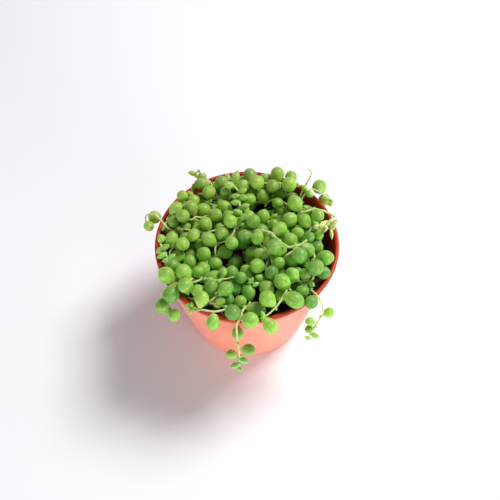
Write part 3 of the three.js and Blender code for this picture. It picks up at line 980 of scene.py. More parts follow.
class Effect(Graph):
    """A shader node group with named inputs and outputs, which more than one finish uses."""

    def __init__(self, name: str, inlets: dict[str, Feed], outlets: tuple[str, ...]) -> None:
        """Makes the empty group.

        Args:
            name: The group's name.
            inlets: The inputs' names and usual values; None stands for a vector.
            outlets: The outputs' names, all of them numbers.
        """
        super().__init__(bpy.data.node_groups.new(name, "ShaderNodeTree"))
        face = self.tree.interface
        for inlet, usual in inlets.items():
            kind = "NodeSocketVector" if usual is None else "NodeSocketFloat"
            socket = face.new_socket(inlet, in_out="INPUT", socket_type=kind)
            if usual is not None:
                socket.default_value = usual
        for outlet in outlets:
            face.new_socket(outlet, in_out="OUTPUT", socket_type="NodeSocketFloat")
        self.source = self.add("NodeGroupInput").outputs
        self.result = self.add("NodeGroupOutput")


def mottling() -> NodeTree:
    """Uneven colour: large soft patches with small ones inside, as a shade around 1.

    Returns:
        The effect's group.
    """
    group = Effect("mottling", {"Vector": None, "Scale": 300.0, "Depth": 0.2}, ("Shade", "Patches"))
    large = group.noise(group.source["Vector"], group.source["Scale"], 3.0, 0.55)
    fine_scale = group.times(group.source["Scale"], 4.3)
    fine = group.noise(group.source["Vector"], fine_scale, 2.0, 0.6)
    mixed = group.maths("MULTIPLY_ADD", fine, 0.35, group.times(large, 0.65))
    centred = group.maths("SUBTRACT", mixed, 0.5)
    deep = group.times(centred, group.times(group.source["Depth"], 4.0))
    group.feed(group.result, "Shade", group.maths("ADD", deep, 1.0))
    group.feed(group.result, "Patches", group.span(mixed, 0.42, 0.6))
    return group.tree


def specks() -> NodeTree:
    """Small scattered dots: 1 in the middle of each dot and 0 between them.

    Returns:
        The effect's group.
    """
    inlets = {"Vector": None, "Scale": 900.0, "Spread": 0.16, "Share": 0.3}
    group = Effect("specks", inlets, ("Dots",))
    cells = group.add(
        "ShaderNodeTexVoronoi", {"Vector": group.source["Vector"], "Scale": group.source["Scale"]}
    )
    dot = group.span(cells.outputs["Distance"], group.source["Spread"], 0.0)
    chosen = group.parts(cells.outputs["Color"])[0]
    kept = group.maths("LESS_THAN", chosen, group.source["Share"])
    group.feed(group.result, "Dots", group.times(dot, kept))
    return group.tree


def skin_grain() -> NodeTree:
    """The height of a fine uneven skin, from its coarse swells to its fine grain.

    Returns:
        The effect's group.
    """
    group = Effect("skin_grain", {"Vector": None, "Scale": 1500.0, "Fineness": 0.4}, ("Height",))
    coarse = group.noise(group.source["Vector"], group.source["Scale"], 2.0, 0.5)
    fine_scale = group.times(group.source["Scale"], 5.0)
    fine = group.noise(group.source["Vector"], fine_scale, 1.0, 0.5)
    height = group.maths("MULTIPLY_ADD", fine, group.source["Fineness"], coarse)
    group.feed(group.result, "Height", height)
    return group.tree


@dataclass
class Effects:
    """The shared effects, built once."""

    mottling: NodeTree = field(default_factory=mottling)
    specks: NodeTree = field(default_factory=specks)
    skin_grain: NodeTree = field(default_factory=skin_grain)


class Paint(Graph):
    """A material in the making, around one Principled shader."""

    def __init__(self, name: str, constants: dict[str, Feed]) -> None:
        """Makes the material.

        Args:
            name: The material's name.
            constants: What is the same all over, set on the shader's own sockets.
        """
        self.material = bpy.data.materials.new(name)
        self.material.use_nodes = True
        super().__init__(self.material.node_tree)
        self.shader = self.tree.nodes["Principled BSDF"]
        for key, value in constants.items():
            self.feed(self.shader, key, value)
        self.place = self.add("ShaderNodeTexCoord").outputs["Object"]

    def named(self, attribute: str, output: str = "Fac") -> NodeSocket:
        """A value that the mesh carries."""
        node = self.add("ShaderNodeAttribute", attribute_name=attribute)
        return node.outputs[output]

    def effect(self, group: NodeTree, outlet: str, **feeds: Feed) -> NodeSocket:
        """Places a shared effect.

        Args:
            group: The effect.
            outlet: The name of the output that is wanted.
            feeds: The effect's inputs, by name.

        Returns:
            The output.
        """
        node = self.add("ShaderNodeGroup", node_tree=group)
        self.feed(node, "Vector", self.place)
        for key, value in feeds.items():
            self.feed(node, key, value)
        return node.outputs[outlet]

    def shaded(self, tint: Feed, shade: Feed) -> Node:
        """A colour made lighter or darker."""
        return self.scaled(tint[:3] if isinstance(tint, tuple) else tint, shade)

    def surfaced(self, tint: Feed, roughness: Feed) -> None:
        """Gives the surface its colour and its roughness."""
        self.feed(self.shader, "Base Color", tint)
        self.feed(self.shader, "Roughness", roughness)

    def raised(self, height: Feed, distance: float, strength: float = 1.0) -> None:
        """Puts a fine relief on the surface, its distance in millimetres."""
        feeds = {"Height": height, "Distance": distance * MM, "Strength": strength}
        self.feed(self.shader, "Normal", self.add("ShaderNodeBump", feeds))


# ---------------- finishes
@dataclass(frozen=True)
class LeafSkin:
    """A live leaf: waxy, a little see-through, with a dark window line and a dry tip."""

    deep: Colour = colour(76, 152, 52)
    fresh: Colour = colour(144, 210, 68)
    lime: Colour = colour(168, 204, 82)
    sunned: Colour = colour(186, 194, 76)
    # A grey for dust and for painted sky sheen on the tops of the leaves.
    dust_and_sky_sheen: Colour = colour(122, 134, 84)
    young: Colour = colour(150, 220, 96)
    neck: Colour = colour(192, 212, 122)
    window: Colour = colour(56, 108, 38)
    tip: Colour = colour(124, 104, 54)
    roughness: float = 0.35

    def made(self, effects: Effects) -> Material:
        """The material of the live leaves.

        Args:
            effects: The shared effects.

        Returns:
            The finished material.
        """
        paint = Paint("leaf_skin", {
            "Subsurface Weight": 0.13, "Subsurface Radius": (0.45, 1.0, 0.2),
            "Subsurface Scale": 1.6 * MM, "Specular IOR Level": 0.5, "Sheen Weight": 0.4,
            "Sheen Roughness": 0.3, "Sheen Tint": colour(222, 230, 196), "IOR": 1.42,
        })
        across, around, rise = paint.parts(paint.named("form", "Vector"))
        tone = paint.named("tone")
        tint = paint.blend(paint.span(tone, 0.0, 0.7), self.deep, self.fresh)
        ripe = paint.times(paint.span(tone, 0.82, 1.0), 0.6)
        tint = paint.blend(ripe, tint, self.lime)
        tint = paint.blend(paint.named("youth"), tint, self.young)
        tint = paint.blend(self._sunned(paint), tint, self.sunned)
        # Partly dust, partly painted sky sheen: the upper sides of the leaves are greyed.
        tint = paint.blend(self._dust_and_sky_sheen_mask(paint), tint, self.dust_and_sky_sheen)
        patches = paint.effect(effects.mottling, "Patches", Scale=210.0, Depth=0.2)
        tint = paint.blend(paint.times(patches, 0.3), tint, self.lime)
        tint = paint.blend(self._veins(paint, across, around), tint, self.neck)
        tint = paint.blend(paint.span(rise, -0.55, -1.0, 0.0, 0.7), tint, self.neck)
        line = paint.times(self._window(paint, across, around, rise), 0.32)
        tint = paint.blend(line, tint, self.window)
        dots = paint.effect(effects.specks, "Dots", Scale=1500.0, Spread=0.3, Share=0.3)
        tint = paint.blend(paint.times(dots, 0.22), tint, self.neck)
        tint = paint.blend(paint.span(rise, 0.975, 0.995), tint, self.tip)
        shade = paint.effect(effects.mottling, "Shade", Scale=520.0, Depth=0.13)
        dulled = paint.maths("MULTIPLY_ADD", patches, 0.12, self.roughness)
        paint.surfaced(paint.shaded(tint, shade), dulled)
        grain = paint.effect(effects.skin_grain, "Height", Scale=900.0, Fineness=0.35)
        paint.raised(grain, 0.07, 0.5)
        return paint.material

    def _sunned(self, paint: Paint) -> Node:
        """How far the sun has yellowed a leaf: most at the back and the left of the plant.

        Args:
            paint: The material.

        Returns:
            The mask.
        """
        east, north, _ = paint.parts(paint.place)
        lit = paint.maths("MULTIPLY_ADD", east, -0.45, paint.times(north, 0.9))
        return paint.span(lit, -0.025, 0.045, 0.0, 0.42)

    def _dust_and_sky_sheen_mask(self, paint: Paint) -> Node:
        """A greyish tint on the upper side of a leaf, broken up in places: partly a dusty bloom, partly
        painted sky sheen on the tops.

        Args:
            paint: The material.

        Returns:
            The mask.
        """
        # Painted sky sheen, with some dust: the side that faces up is greyed, as the tops look under the
        # sky.
        upward = paint.parts(paint.add("ShaderNodeNewGeometry").outputs["Normal"])[2]
        broken_up = paint.span(paint.noise(paint.place, 240.0), 0.3, 0.6, 0.35, 1.0)
        return paint.times(paint.span(upward, 0.35, 1.0, 0.0, 0.5), broken_up)

    def _window(self, paint: Paint, across: Feed, around: Feed, rise: Feed) -> Node:
        """The mask of the narrow window that runs along one side of a leaf, from neck to tip.

        Args:
            paint: The material.
            across: The leaf's own x, from -1 to 1.
            around: The leaf's own y.
            rise: The leaf's own z, from neck to tip.

        Returns:
            The mask.
        """
        sway = paint.times(paint.maths("SUBTRACT", paint.noise(paint.place, 260.0), 0.5), 0.1)
        off = paint.maths("ABSOLUTE", paint.maths("ADD", around, sway))
        line = paint.span(off, 0.1, 0.02)
        front = paint.span(across, 0.1, 0.45)
        ends = paint.span(paint.maths("ABSOLUTE", rise), 0.98, 0.8)
        return paint.times(line, paint.times(front, ends))

    def _veins(self, paint: Paint, across: Feed, around: Feed) -> Node:
        """Faint pale stripes from the neck to the tip.

        Args:
            paint: The material.
            across: The leaf's own x, from -1 to 1.
            around: The leaf's own y.

        Returns:
            The mask.
        """
        angle = paint.maths("ARCTAN2", around, across)
        sway = paint.times(paint.noise(paint.place, 330.0), 3.0)
        wave = paint.maths("SINE", paint.maths("MULTIPLY_ADD", angle, 10.0, sway))
        broken = paint.span(paint.noise(paint.place, 190.0, 1.0), 0.42, 0.66)
        return paint.times(paint.span(wave, 0.35, 1.0, 0.0, 0.3), broken)


@dataclass(frozen=True)
class StemSkin:
    """A live stem: pale cream-green, browner where it is old, greener at its tip."""

    old: Colour = colour(204, 188, 132)
    grown: Colour = colour(224, 222, 158)
    fresh: Colour = colour(192, 216, 130)
    joint: Colour = colour(170, 192, 104)
    roughness: float = 0.5

    def made(self, effects: Effects) -> Material:
        """The material of the live stems and leaf stalks.

        Args:
            effects: The shared effects.

        Returns:
            The finished material.
        """
        paint = Paint("stem_skin", {
            "Subsurface Weight": 0.25, "Subsurface Radius": (0.8, 1.0, 0.4),
            "Subsurface Scale": 0.6 * MM, "Specular IOR Level": 0.4, "Sheen Weight": 0.15,
            "Sheen Roughness": 0.5, "Sheen Tint": colour(244, 246, 208),
        })
        along = paint.named("along")
        tint = paint.blend(paint.span(along, 0.05, 0.35), self.old, self.grown)
        tint = paint.blend(paint.span(along, 0.6, 1.0), tint, self.fresh)
        tint = paint.blend(paint.times(paint.named("joint"), 0.6), tint, self.joint)
        patches = paint.effect(effects.mottling, "Patches", Scale=420.0, Depth=0.2)
        tint = paint.blend(paint.times(patches, 0.4), tint, self.joint)
        shade = paint.effect(effects.mottling, "Shade", Scale=900.0, Depth=0.18)
        dulled = paint.maths("MULTIPLY_ADD", patches, 0.15, self.roughness)
        paint.surfaced(paint.shaded(tint, shade), dulled)
        grain = paint.effect(effects.skin_grain, "Height", Scale=2600.0, Fineness=0.4)
        paint.raised(grain, 0.05, 0.6)
        return paint.material


@dataclass(frozen=True)
class DrySkin:
    """A withered shoot: papery, tan, wrinkled lengthways."""

    pale: Colour = colour(234, 238, 166)
    tan: Colour = colour(190, 218, 114)
    brown: Colour = colour(136, 112, 66)
    roughness: float = 0.75

    def made(self, effects: Effects) -> Material:
        """The material of the dry strands.

        Args:
            effects: The shared effects.

        Returns:
            The finished material.
        """
        paint = Paint("dry_skin", {
            "Subsurface Weight": 0.1, "Subsurface Radius": (1.0, 0.8, 0.5),
            "Subsurface Scale": 0.5 * MM, "Specular IOR Level": 0.25, "Sheen Weight": 0.1,
            "Sheen Roughness": 0.6,
        })
        patches = paint.effect(effects.mottling, "Patches", Scale=520.0, Depth=0.3)
        tint = paint.blend(patches, self.pale, self.tan)
        dots = paint.effect(effects.specks, "Dots", Scale=1100.0, Spread=0.42, Share=0.35)
        tint = paint.blend(paint.times(dots, 0.7), tint, self.brown)
        shade = paint.effect(effects.mottling, "Shade", Scale=1400.0, Depth=0.3)
        dulled = paint.maths("MULTIPLY_ADD", patches, 0.15, self.roughness)
        paint.surfaced(paint.shaded(tint, shade), dulled)
        grain = paint.effect(effects.skin_grain, "Height", Scale=1900.0, Fineness=0.7)
        paint.raised(grain, 0.16, 0.8)
        return paint.material


@dataclass(frozen=True)
class PotPlastic:
    """Thin moulded plastic, brick red all through. The outside is painted a paler salmon, a lit copy of
    the plastic that stands in for bright bounce light on the outer wall; inside, soil specks and painted
    shade darken the wall towards the soil.
    """

    lip: Colour = colour(186, 58, 20)
    inside: Colour = colour(178, 42, 22)
    # The outside colours are painted light: paler, lit copies of the brick-red plastic, as the outer
    # wall looks in bright bounce light.
    outside: Colour = colour(246, 148, 124)
    lit_paler: Colour = colour(250, 190, 170)
    # A dark brown for soil specks and for painted shade at the foot of the inner wall.
    soil_and_shade_brown: Colour = colour(70, 34, 24)
    roughness: float = 0.42

    def made(self, effects: Effects) -> Material:
        """The material of the pot.

        Args:
            effects: The shared effects.

        Returns:
            The finished material.
        """
        paint = Paint("pot_plastic", {
            "Subsurface Weight": 0.12, "Subsurface Radius": (1.0, 0.35, 0.2),
            "Subsurface Scale": 2.0 * MM, "Specular IOR Level": 0.25,
            "Coat Weight": 0.03, "Coat Roughness": 0.35,
        })
        height = paint.maths("DIVIDE", paint.parts(paint.place)[2], MM)
        outer = paint.named("outer")
        patches = paint.effect(effects.mottling, "Patches", Scale=26.0, Depth=0.3)
        # Painted light: the outside takes the paler lit copy of the plastic, in uneven patches.
        painted_lit_outside = paint.blend(paint.times(patches, 0.2), self.outside, self.lit_paler)
        within = paint.blend(paint.named("lip"), self.inside, self.lip)
        tint = paint.blend(outer, within, painted_lit_outside)
        # Painted shade with soil specks: the inner wall is darkened towards the soil.
        specks_and_shade = paint.times(self._specks_and_painted_shade(paint, effects, height), 0.75)
        tint = paint.blend(specks_and_shade, tint, self.soil_and_shade_brown)
        shade = paint.effect(effects.mottling, "Shade", Scale=90.0, Depth=0.06)
        scuffs = self._scuffs(paint)
        worn = paint.maths("MULTIPLY_ADD", scuffs, 0.2, self.roughness)
        paint.surfaced(paint.shaded(tint, shade), worn)
        grain = paint.effect(effects.skin_grain, "Height", Scale=1700.0, Fineness=0.5)
        relief = paint.maths("MULTIPLY_ADD", scuffs, -0.4, grain)
        paint.raised(relief, 0.05, 0.45)
        return paint.material

    def _specks_and_painted_shade(self, paint: Paint, effects: Effects, height: Feed) -> Node:
        """Soil specks on the inside wall, and a ragged dark band that thickens towards the soil and
        thins upwards: painted shade at the foot of the inner wall, partly soil stuck on.

        Args:
            paint: The material.
            effects: The shared effects.
            height: The height over the ground in millimetres.

        Returns:
            The mask.
        """
        pot = PotSizes()
        # Painted shade: a soft ragged band, darkest at the soil.
        low = paint.span(height, pot.soil_top + 7.0, pot.soil_top - 1.0)
        ragged = paint.effect(effects.mottling, "Patches", Scale=330.0, Depth=0.4)
        shade_film = paint.times(low, paint.maths("MULTIPLY_ADD", ragged, 0.7, 0.3))
        dots = paint.effect(effects.specks, "Dots", Scale=520.0, Spread=0.34, Share=0.3)
        specks_and_film = paint.maths("MAXIMUM", shade_film, paint.times(dots, 0.5))
        bare = paint.maths("MAXIMUM", paint.named("outer"), paint.named("lip"))
        inner = paint.maths("SUBTRACT", 1.0, bare)
        return paint.times(specks_and_film, inner)

    def _scuffs(self, paint: Paint) -> Node:
        """Fine level scratches from stacking and handling.

        Args:
            paint: The material.

        Returns:
            The mask.
        """
        drawn = paint.vector("MULTIPLY", paint.place, (1.0, 1.0, 14.0))
        lines = paint.noise(drawn, 160.0, 3.0, 0.7)
        return paint.span(lines, 0.56, 0.7)


@dataclass(frozen=True)
class PottingSoil:
    """Damp peat with bark fibres and pale mineral grains."""

    peat: Colour = colour(34, 24, 20)
    crumb: Colour = colour(66, 48, 36)
    fibre: Colour = colour(146, 106, 66)
    grain: Colour = colour(226, 216, 198)
    roughness: float = 0.88

    def made(self, effects: Effects) -> Material:
        """The material of the soil and of what lies on it.

        Args:
            effects: The shared effects.

        Returns:
            The finished material.
        """
        paint = Paint("potting_soil", {"Specular IOR Level": 0.3})
        kind, tone = paint.named("kind"), paint.named("tone")
        patches = paint.effect(effects.mottling, "Patches", Scale=260.0, Depth=0.5)
        tint = paint.blend(paint.maths("MULTIPLY_ADD", patches, 0.4, tone), self.peat, self.crumb)
        wood = paint.blend(tone, self.crumb, self.fibre)
        tint = paint.blend(paint.span(kind, 0.2, 0.3), tint, wood)
        tint = paint.blend(paint.span(kind, 0.7, 0.8), tint, self.grain)
        shade = paint.effect(effects.mottling, "Shade", Scale=1300.0, Depth=0.4)
        damp = paint.maths("MULTIPLY_ADD", patches, -0.25, self.roughness)
        paint.surfaced(paint.shaded(tint, shade), damp)
        grain = paint.effect(effects.skin_grain, "Height", Scale=1500.0, Fineness=0.8)
        paint.raised(grain, 0.3, 0.9)
        return paint.material


@dataclass(frozen=True)
class FloorPaint:
    """A plain pale matt floor."""

    tint: Colour = colour(241, 243, 249)
    roughness: float = 0.75

    def made(self, effects: Effects) -> Material:
        """The material of the floor.

        Args:
            effects: The shared effects.

        Returns:
            The finished material.
        """
        paint = Paint("pale_floor", {"Roughness": self.roughness, "Specular IOR Level": 0.2})
        shade = paint.effect(effects.mottling, "Shade", Scale=3.0, Depth=0.006)
        paint.feed(paint.shader, "Base Color", paint.shaded(self.tint, shade))
        return paint.material


# ---------------- forms that repeat
def linked(name: str, data: ID) -> Object:
    """A new object in the scene.

    Args:
        name: The object's name.
        data: Its mesh, light or camera.

    Returns:
        The object.
    """
    made = bpy.data.objects.new(name, data)
    bpy.context.scene.collection.objects.link(made)
    return made


def applied(piece: Object, modifier: Modifier) -> Mesh:
    """Makes what a modifier does to a piece part of its mesh.

    Args:
        piece: The piece.
        modifier: Its only modifier, which is taken off.

    Returns:
        The piece's new mesh.
    """
    evaluated = piece.evaluated_get(bpy.context.evaluated_depsgraph_get())
    made = bpy.data.meshes.new_from_object(evaluated)
    piece.modifiers.remove(modifier)
    piece.data = made
    return made


class Former(Graph):
    """A Geometry Nodes tree with named inputs, run on plain meshes."""

    def __init__(self, name: str, sizes: dict[str, float | int]) -> None:
        """Makes the tree with its inputs.

        Args:
            name: The tree's name.
            sizes: The inputs' names and usual values; a Finish input is always added.
        """
        super().__init__(bpy.data.node_groups.new(name, "GeometryNodeTree"))
        face = self.tree.interface
        face.new_socket("Geometry", in_out="INPUT", socket_type="NodeSocketGeometry")
        face.new_socket("Geometry", in_out="OUTPUT", socket_type="NodeSocketGeometry")
        for size, usual in sizes.items():
            kind = "NodeSocketInt" if isinstance(usual, int) else "NodeSocketFloat"
            face.new_socket(size, in_out="INPUT", socket_type=kind).default_value = usual
        face.new_socket("Finish", in_out="INPUT", socket_type="NodeSocketMaterial")
        self.source = self.add("NodeGroupInput").outputs
        self.result = self.add("NodeGroupOutput")

    def named(self, attribute: str, kind: str = "FLOAT") -> Node:
        """A value that the mesh carries."""
        return self.add("GeometryNodeInputNamedAttribute", {"Name": attribute}, data_type=kind)

    def stored(self, geometry: Feed, attribute: str, value: Feed, kind: str = "FLOAT") -> Node:
        """The geometry with a value kept at each of its points."""
        feeds = {"Geometry": geometry, "Name": attribute, "Value": value}
        return self.add("GeometryNodeStoreNamedAttribute", feeds, data_type=kind, domain="POINT")

    def moved(self, geometry: Feed, offset: Feed) -> Node:
        """The geometry with its points moved."""
        return self.add("GeometryNodeSetPosition", {"Geometry": geometry, "Offset": offset})

    def random(self, low: float, high: float, seed: int) -> Node:
        """A number drawn for each point or instance."""
        feeds = {"Min": low, "Max": high, "Seed": seed}
        return self.add("FunctionNodeRandomValue", feeds, data_type="FLOAT")

    def roughened(self, geometry: Feed, scale: Feed, depth: Feed) -> Node:
        """The geometry with its surface pushed in and out by soft noise.

        Args:
            geometry: The geometry.
            scale: How fine the noise is.
            depth: How far it pushes.

        Returns:
            The uneven geometry.
        """
        place = self.add("GeometryNodeInputPosition")
        swell = self.maths("SUBTRACT", self.noise(place, scale, 1.0), 0.5)
        normal = self.add("GeometryNodeInputNormal")
        return self.moved(geometry, self.scaled(normal, self.times(swell, depth)))

    def close(self, geometry: Feed) -> Former:
        """Ends the tree: instances made real, smooth shading and the finish.

        Args:
            geometry: What the tree has made.

        Returns:
            The former itself.
        """
        real = self.add("GeometryNodeRealizeInstances", {"Geometry": geometry})
        smooth = self.add("GeometryNodeSetShadeSmooth", {"Geometry": real})
        feeds = {"Geometry": smooth, "Material": self.source["Finish"]}
        self.feed(self.result, 0, self.add("GeometryNodeSetMaterial", feeds))
        return self

    def run(self, name: str, mesh: Mesh, **values: object) -> Object:
        """Runs the tree on a mesh.

        Args:
            name: The name of the piece.
            mesh: The mesh that the tree starts from.
            values: The inputs, by name with an underscore for each space.

        Returns:
            The piece as a plain mesh object, with no modifier left.
        """
        piece = linked(name, mesh)
        modifier = piece.modifiers.new("form", "NODES")
        modifier.node_group = self.tree
        keys = {
            item.name: item.identifier
            for item in self.tree.interface.items_tree
            if item.in_out == "INPUT"
        }
        for key, value in values.items():
            modifier[keys[key.replace("_", " ")]] = value
        applied(piece, modifier).name = name
        return piece


def carrying(mesh: Mesh, values: dict[str, np.ndarray]) -> Mesh:
    """Keeps named values at the points of a mesh.

    Args:
        mesh: The mesh.
        values: One number or one vector for each point, by name.

    Returns:
        The same mesh.
    """
    for name, rows in values.items():
        kind = "FLOAT_VECTOR" if rows.ndim == 2 else "FLOAT"
        attribute = mesh.attributes.new(name, kind, "POINT")
        attribute.data.foreach_set("vector" if rows.ndim == 2 else "value", rows.astype(float).ravel())
    return mesh


def varied_ends(former: Former) -> Node:
    """Draws the neck of some leaves out to a pear and the tip of others to a point.

    Args:
        former: The former of the leaves, whose inputs say how far.

    Returns:
        How far each point of the leaves moves, along its own leaf.
    """
    source, tone = former.source, former.named("tone")
    rise = former.parts(former.named("form", "FLOAT_VECTOR"))[2]
    length_of = former.parts(former.named("size", "FLOAT_VECTOR"))[2]
    # Each leaf's tone, stretched and wrapped, gives it two more numbers of its own.
    necks = former.maths("FRACT", former.times(tone, 7.31))
    tips = former.maths("FRACT", former.times(tone, 3.77))
    neck = former.times(former.span(necks, 0.45, 1.0), source["Pear"])
    neck = former.times(neck, former.span(rise, 0.2, -1.0))
    tip = former.times(former.span(tips, 0.6, 1.0), source["Point"])
    tip = former.times(tip, former.span(rise, 0.55, 1.0))
    grown = former.maths("LESS_THAN", former.named("youth"), 0.5)
    reach = former.times(former.maths("SUBTRACT", tip, neck), grown)
    return former.scaled(former.named("axis", "FLOAT_VECTOR"), former.times(reach, length_of))


def pearl_former() -> Former:
    """Leaves on points: round pearls with a neck and a small tip, and pointed young leaves.

    Returns:
        The tree, ready to run.
    """
    sizes = {
        "Sides": 12, "Rings": 9, "Neck": 0.24, "Tip": 0.07, "Young Stretch": 0.42,
        "Slimness": 0.08, "Flatness": 0.0, "Curl": 0.0, "Pear": 0.24, "Point": 0.15,
        "Wrinkle Scale": 300.0, "Wrinkle Depth": 0.0001,
    }
    former = Former("pearl_former", sizes)
    source = former.source
    ball = former.add(
        "GeometryNodeMeshUVSphere", {"Segments": source["Sides"], "Rings": source["Rings"]}
    )
    ball = former.stored(ball, "form", former.add("GeometryNodeInputPosition"), "FLOAT_VECTOR")
    across, around, rise = former.parts(former.named("form", "FLOAT_VECTOR"))
    neck = former.times(former.span(rise, -0.7, -1.0), source["Neck"])
    tip = former.times(former.span(rise, 0.9, 1.0), source["Tip"])
    drawn = former.add("ShaderNodeCombineXYZ", {2: former.maths("SUBTRACT", tip, neck)})
    pearl = former.moved(ball, drawn)
    slimming = former.times(former.maths("POWER", former.maths("ABSOLUTE", rise), 2.0), -0.5)
    slimming = former.maths("SUBTRACT", slimming, source["Slimness"])
    curl = former.times(former.times(rise, rise), source["Curl"])
    young_offset = former.add("ShaderNodeCombineXYZ", {
        0: former.maths("MULTIPLY_ADD", across, slimming, curl),
        1: former.times(around, former.maths("SUBTRACT", slimming, source["Flatness"])),
        2: former.times(rise, source["Young Stretch"]),
    })
    young = former.moved(ball, young_offset)
    youth = former.named("youth")
    is_young = former.maths("GREATER_THAN", youth, 0.5)
    is_grown = former.maths("LESS_THAN", youth, 0.5)
    turned = former.add(
        "FunctionNodeAlignRotationToVector", {"Vector": former.named("axis", "FLOAT_VECTOR")}, axis="Z"
    )
    turned = former.add(
        "FunctionNodeAlignRotationToVector",
        {"Rotation": turned, "Vector": former.named("side", "FLOAT_VECTOR")}, axis="X", pivot_axis="Z",
    )
    joined = former.add("GeometryNodeJoinGeometry")
    for form, chosen in ((pearl, is_grown), (young, is_young)):
        feeds = {
            "Points": source["Geometry"], "Selection": chosen, "Instance": form,
            "Rotation": turned, "Scale": former.named("size", "FLOAT_VECTOR"),
        }
        former.feed(joined, 0, former.add("GeometryNodeInstanceOnPoints", feeds))
    real = former.add("GeometryNodeRealizeInstances", {"Geometry": joined})
    real = former.moved(real, varied_ends(former))
    return former.close(former.roughened(real, source["Wrinkle Scale"], source["Wrinkle Depth"]))


def stem_former() -> Former:
    """Stems and leaf stalks: tubes along chains of points, as thick as the points say.

    Returns:
        The tree, ready to run.
    """
    former = Former("stem_former", {"Sides": 7, "Steps": 3, "Wrinkle Depth": 0.00012})
    source = former.source
    chain = former.add("GeometryNodeMeshToCurve", {"Mesh": source["Geometry"]})
    curve = former.add("GeometryNodeCurveSplineType", {"Curve": chain}, spline_type="CATMULL_ROM")
    curve = former.add(
        "GeometryNodeSetSplineResolution", {"Geometry": curve, "Resolution": source["Steps"]}
    )
    ring = former.add("GeometryNodeCurvePrimitiveCircle", {"Resolution": source["Sides"], "Radius": 1.0})
    feeds = {
        "Curve": curve, "Profile Curve": ring, "Scale": former.named("thick"), "Fill Caps": True,
    }
    tube = former.add("GeometryNodeCurveToMesh", feeds)
    return former.close(former.roughened(tube, 900.0, source["Wrinkle Depth"]))


def litter_former() -> Former:
    """What lies on the soil: crumbs of peat, bark fibres and pale mineral grains.

    Returns:
        The tree, ready to run.
    """
    sizes = {
        "Crumbs": 240000.0, "Fibres": 42000.0, "Grains": 36000.0, "Crumb Size": 0.0009,
        "Fibre Size": 0.004, "Grain Size": 0.001,
    }
    former = Former("litter_former", sizes)
    source = former.source
    joined = former.add("GeometryNodeJoinGeometry")
    lump = former.add("GeometryNodeMeshIcoSphere", {"Radius": 1.0, "Subdivisions": 2})
    lump = former.roughened(lump, 1.7, 1.1)
    bend = former.add(
        "GeometryNodeCurvePrimitiveBezierSegment",
        {"Resolution": 5, "Start": (-0.5, 0, 0), "Start Handle": (-0.2, 0.24, 0.1),
         "End Handle": (0.2, -0.2, 0.12), "End": (0.5, 0.05, -0.04)},
    )
    ring = former.add("GeometryNodeCurvePrimitiveCircle", {"Resolution": 5, "Radius": 0.045})
    fibre = former.add(
        "GeometryNodeCurveToMesh", {"Curve": bend, "Profile Curve": ring, "Fill Caps": True}
    )
    kinds = (
        (lump, "Crumbs", "Crumb Size", 0.0, (0.35, 1.3), 11),
        (fibre, "Fibres", "Fibre Size", 0.5, (0.4, 1.5), 23),
        (lump, "Grains", "Grain Size", 1.0, (0.4, 1.1), 37),
    )
    for form, share, size, kind, spread, seed in kinds:
        feeds = {"Mesh": source["Geometry"], "Density": source[share], "Seed": seed}
        points = former.add("GeometryNodeDistributePointsOnFaces", feeds)
        marked = former.stored(points, "kind", kind)
        marked = former.stored(marked, "tone", former.random(0.0, 1.0, seed + 1))
        turn = former.add(
            "FunctionNodeRandomValue",
            {"Min": (-0.5, -0.5, 0.0), "Max": (0.5, 0.5, 6.28), "Seed": seed + 2},
            data_type="FLOAT_VECTOR",
        )
        scale = former.times(source[size], former.random(*spread, seed + 3))
        feeds = {"Points": marked, "Instance": form, "Rotation": turn, "Scale": scale}
        former.feed(joined, 0, former.add("GeometryNodeInstanceOnPoints", feeds))
    return former.close(joined)


@dataclass
class Finishes:
    """Every finish as a material, made once."""

    leaf: Material
    stem: Material
    dry: Material
    pot: Material
    soil: Material
    floor: Material

    @classmethod
    def mixed(cls) -> Finishes:
        """Makes the shared effects and then every material.

        Returns:
            The materials.
        """
        effects = Effects()
        finishes = (LeafSkin(), StemSkin(), DrySkin(), PotPlastic(), PottingSoil(), FloorPaint())
        return cls(*(finish.made(effects) for finish in finishes))


class Slot(Enum):
    """Names for the kinds of finish that the pieces have."""

    POT = "pot_plastic"
    SOIL = "potting_soil"
    LEAF = "leaf"
    STEM = "stem"
    DRY = "dry_stem"


def settle(piece: Object, slot: Slot, *nodes: str) -> None:
    """Puts a finished piece into the frame.

    Args:
        piece: The piece, with its place in its mesh.
        slot: Not used.
        nodes: The plain parts that it stands for.
    """
    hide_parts(*nodes)
    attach(piece, "root")
    LOG.info("%s: %d faces", piece.name, len(piece.data.polygons))


# ---------------- shapes built in rings
Ring = list[BMVert]


def ring_at(solid: BMesh, radius: float, height: float, sides: int) -> Ring:
    """Adds a level ring of points.

    Args:
        solid: The mesh being built.
        radius: The ring's radius in millimetres.
        height: Its height in millimetres.
        sides: How many points it has.

    Returns:
        The points in order.
    """
    turns = [2 * math.pi * k / sides for k in range(sides)]
    return [
        solid.verts.new((radius * math.cos(t) * MM, radius * math.sin(t) * MM, height * MM))
        for t in turns
    ]


def join_rings(solid: BMesh, rings: list[Ring]) -> None:
    """Adds the faces between each ring and the next, where one point alone is a pole.

    Args:
        solid: The mesh being built.
        rings: The rings in order.
    """
    sides = max(len(ring) for ring in rings)
    for lower, upper in zip(rings, rings[1:]):
        for k in range(sides):
            after = (k + 1) % sides
            corners = [lower[k % len(lower)], upper[k % len(upper)],
                       upper[after % len(upper)], lower[after % len(lower)]]
            solid.faces.new(dict.fromkeys(corners))


def meshed(solid: BMesh, name: str) -> Mesh:
    """Turns what was built into a mesh.

    Args:
        solid: The mesh being built, which is let go.
        name: The mesh's name.

    Returns:
        The finished mesh.
    """
    mesh = bpy.data.meshes.new(name)
    solid.to_mesh(mesh)
    solid.free()
    return mesh


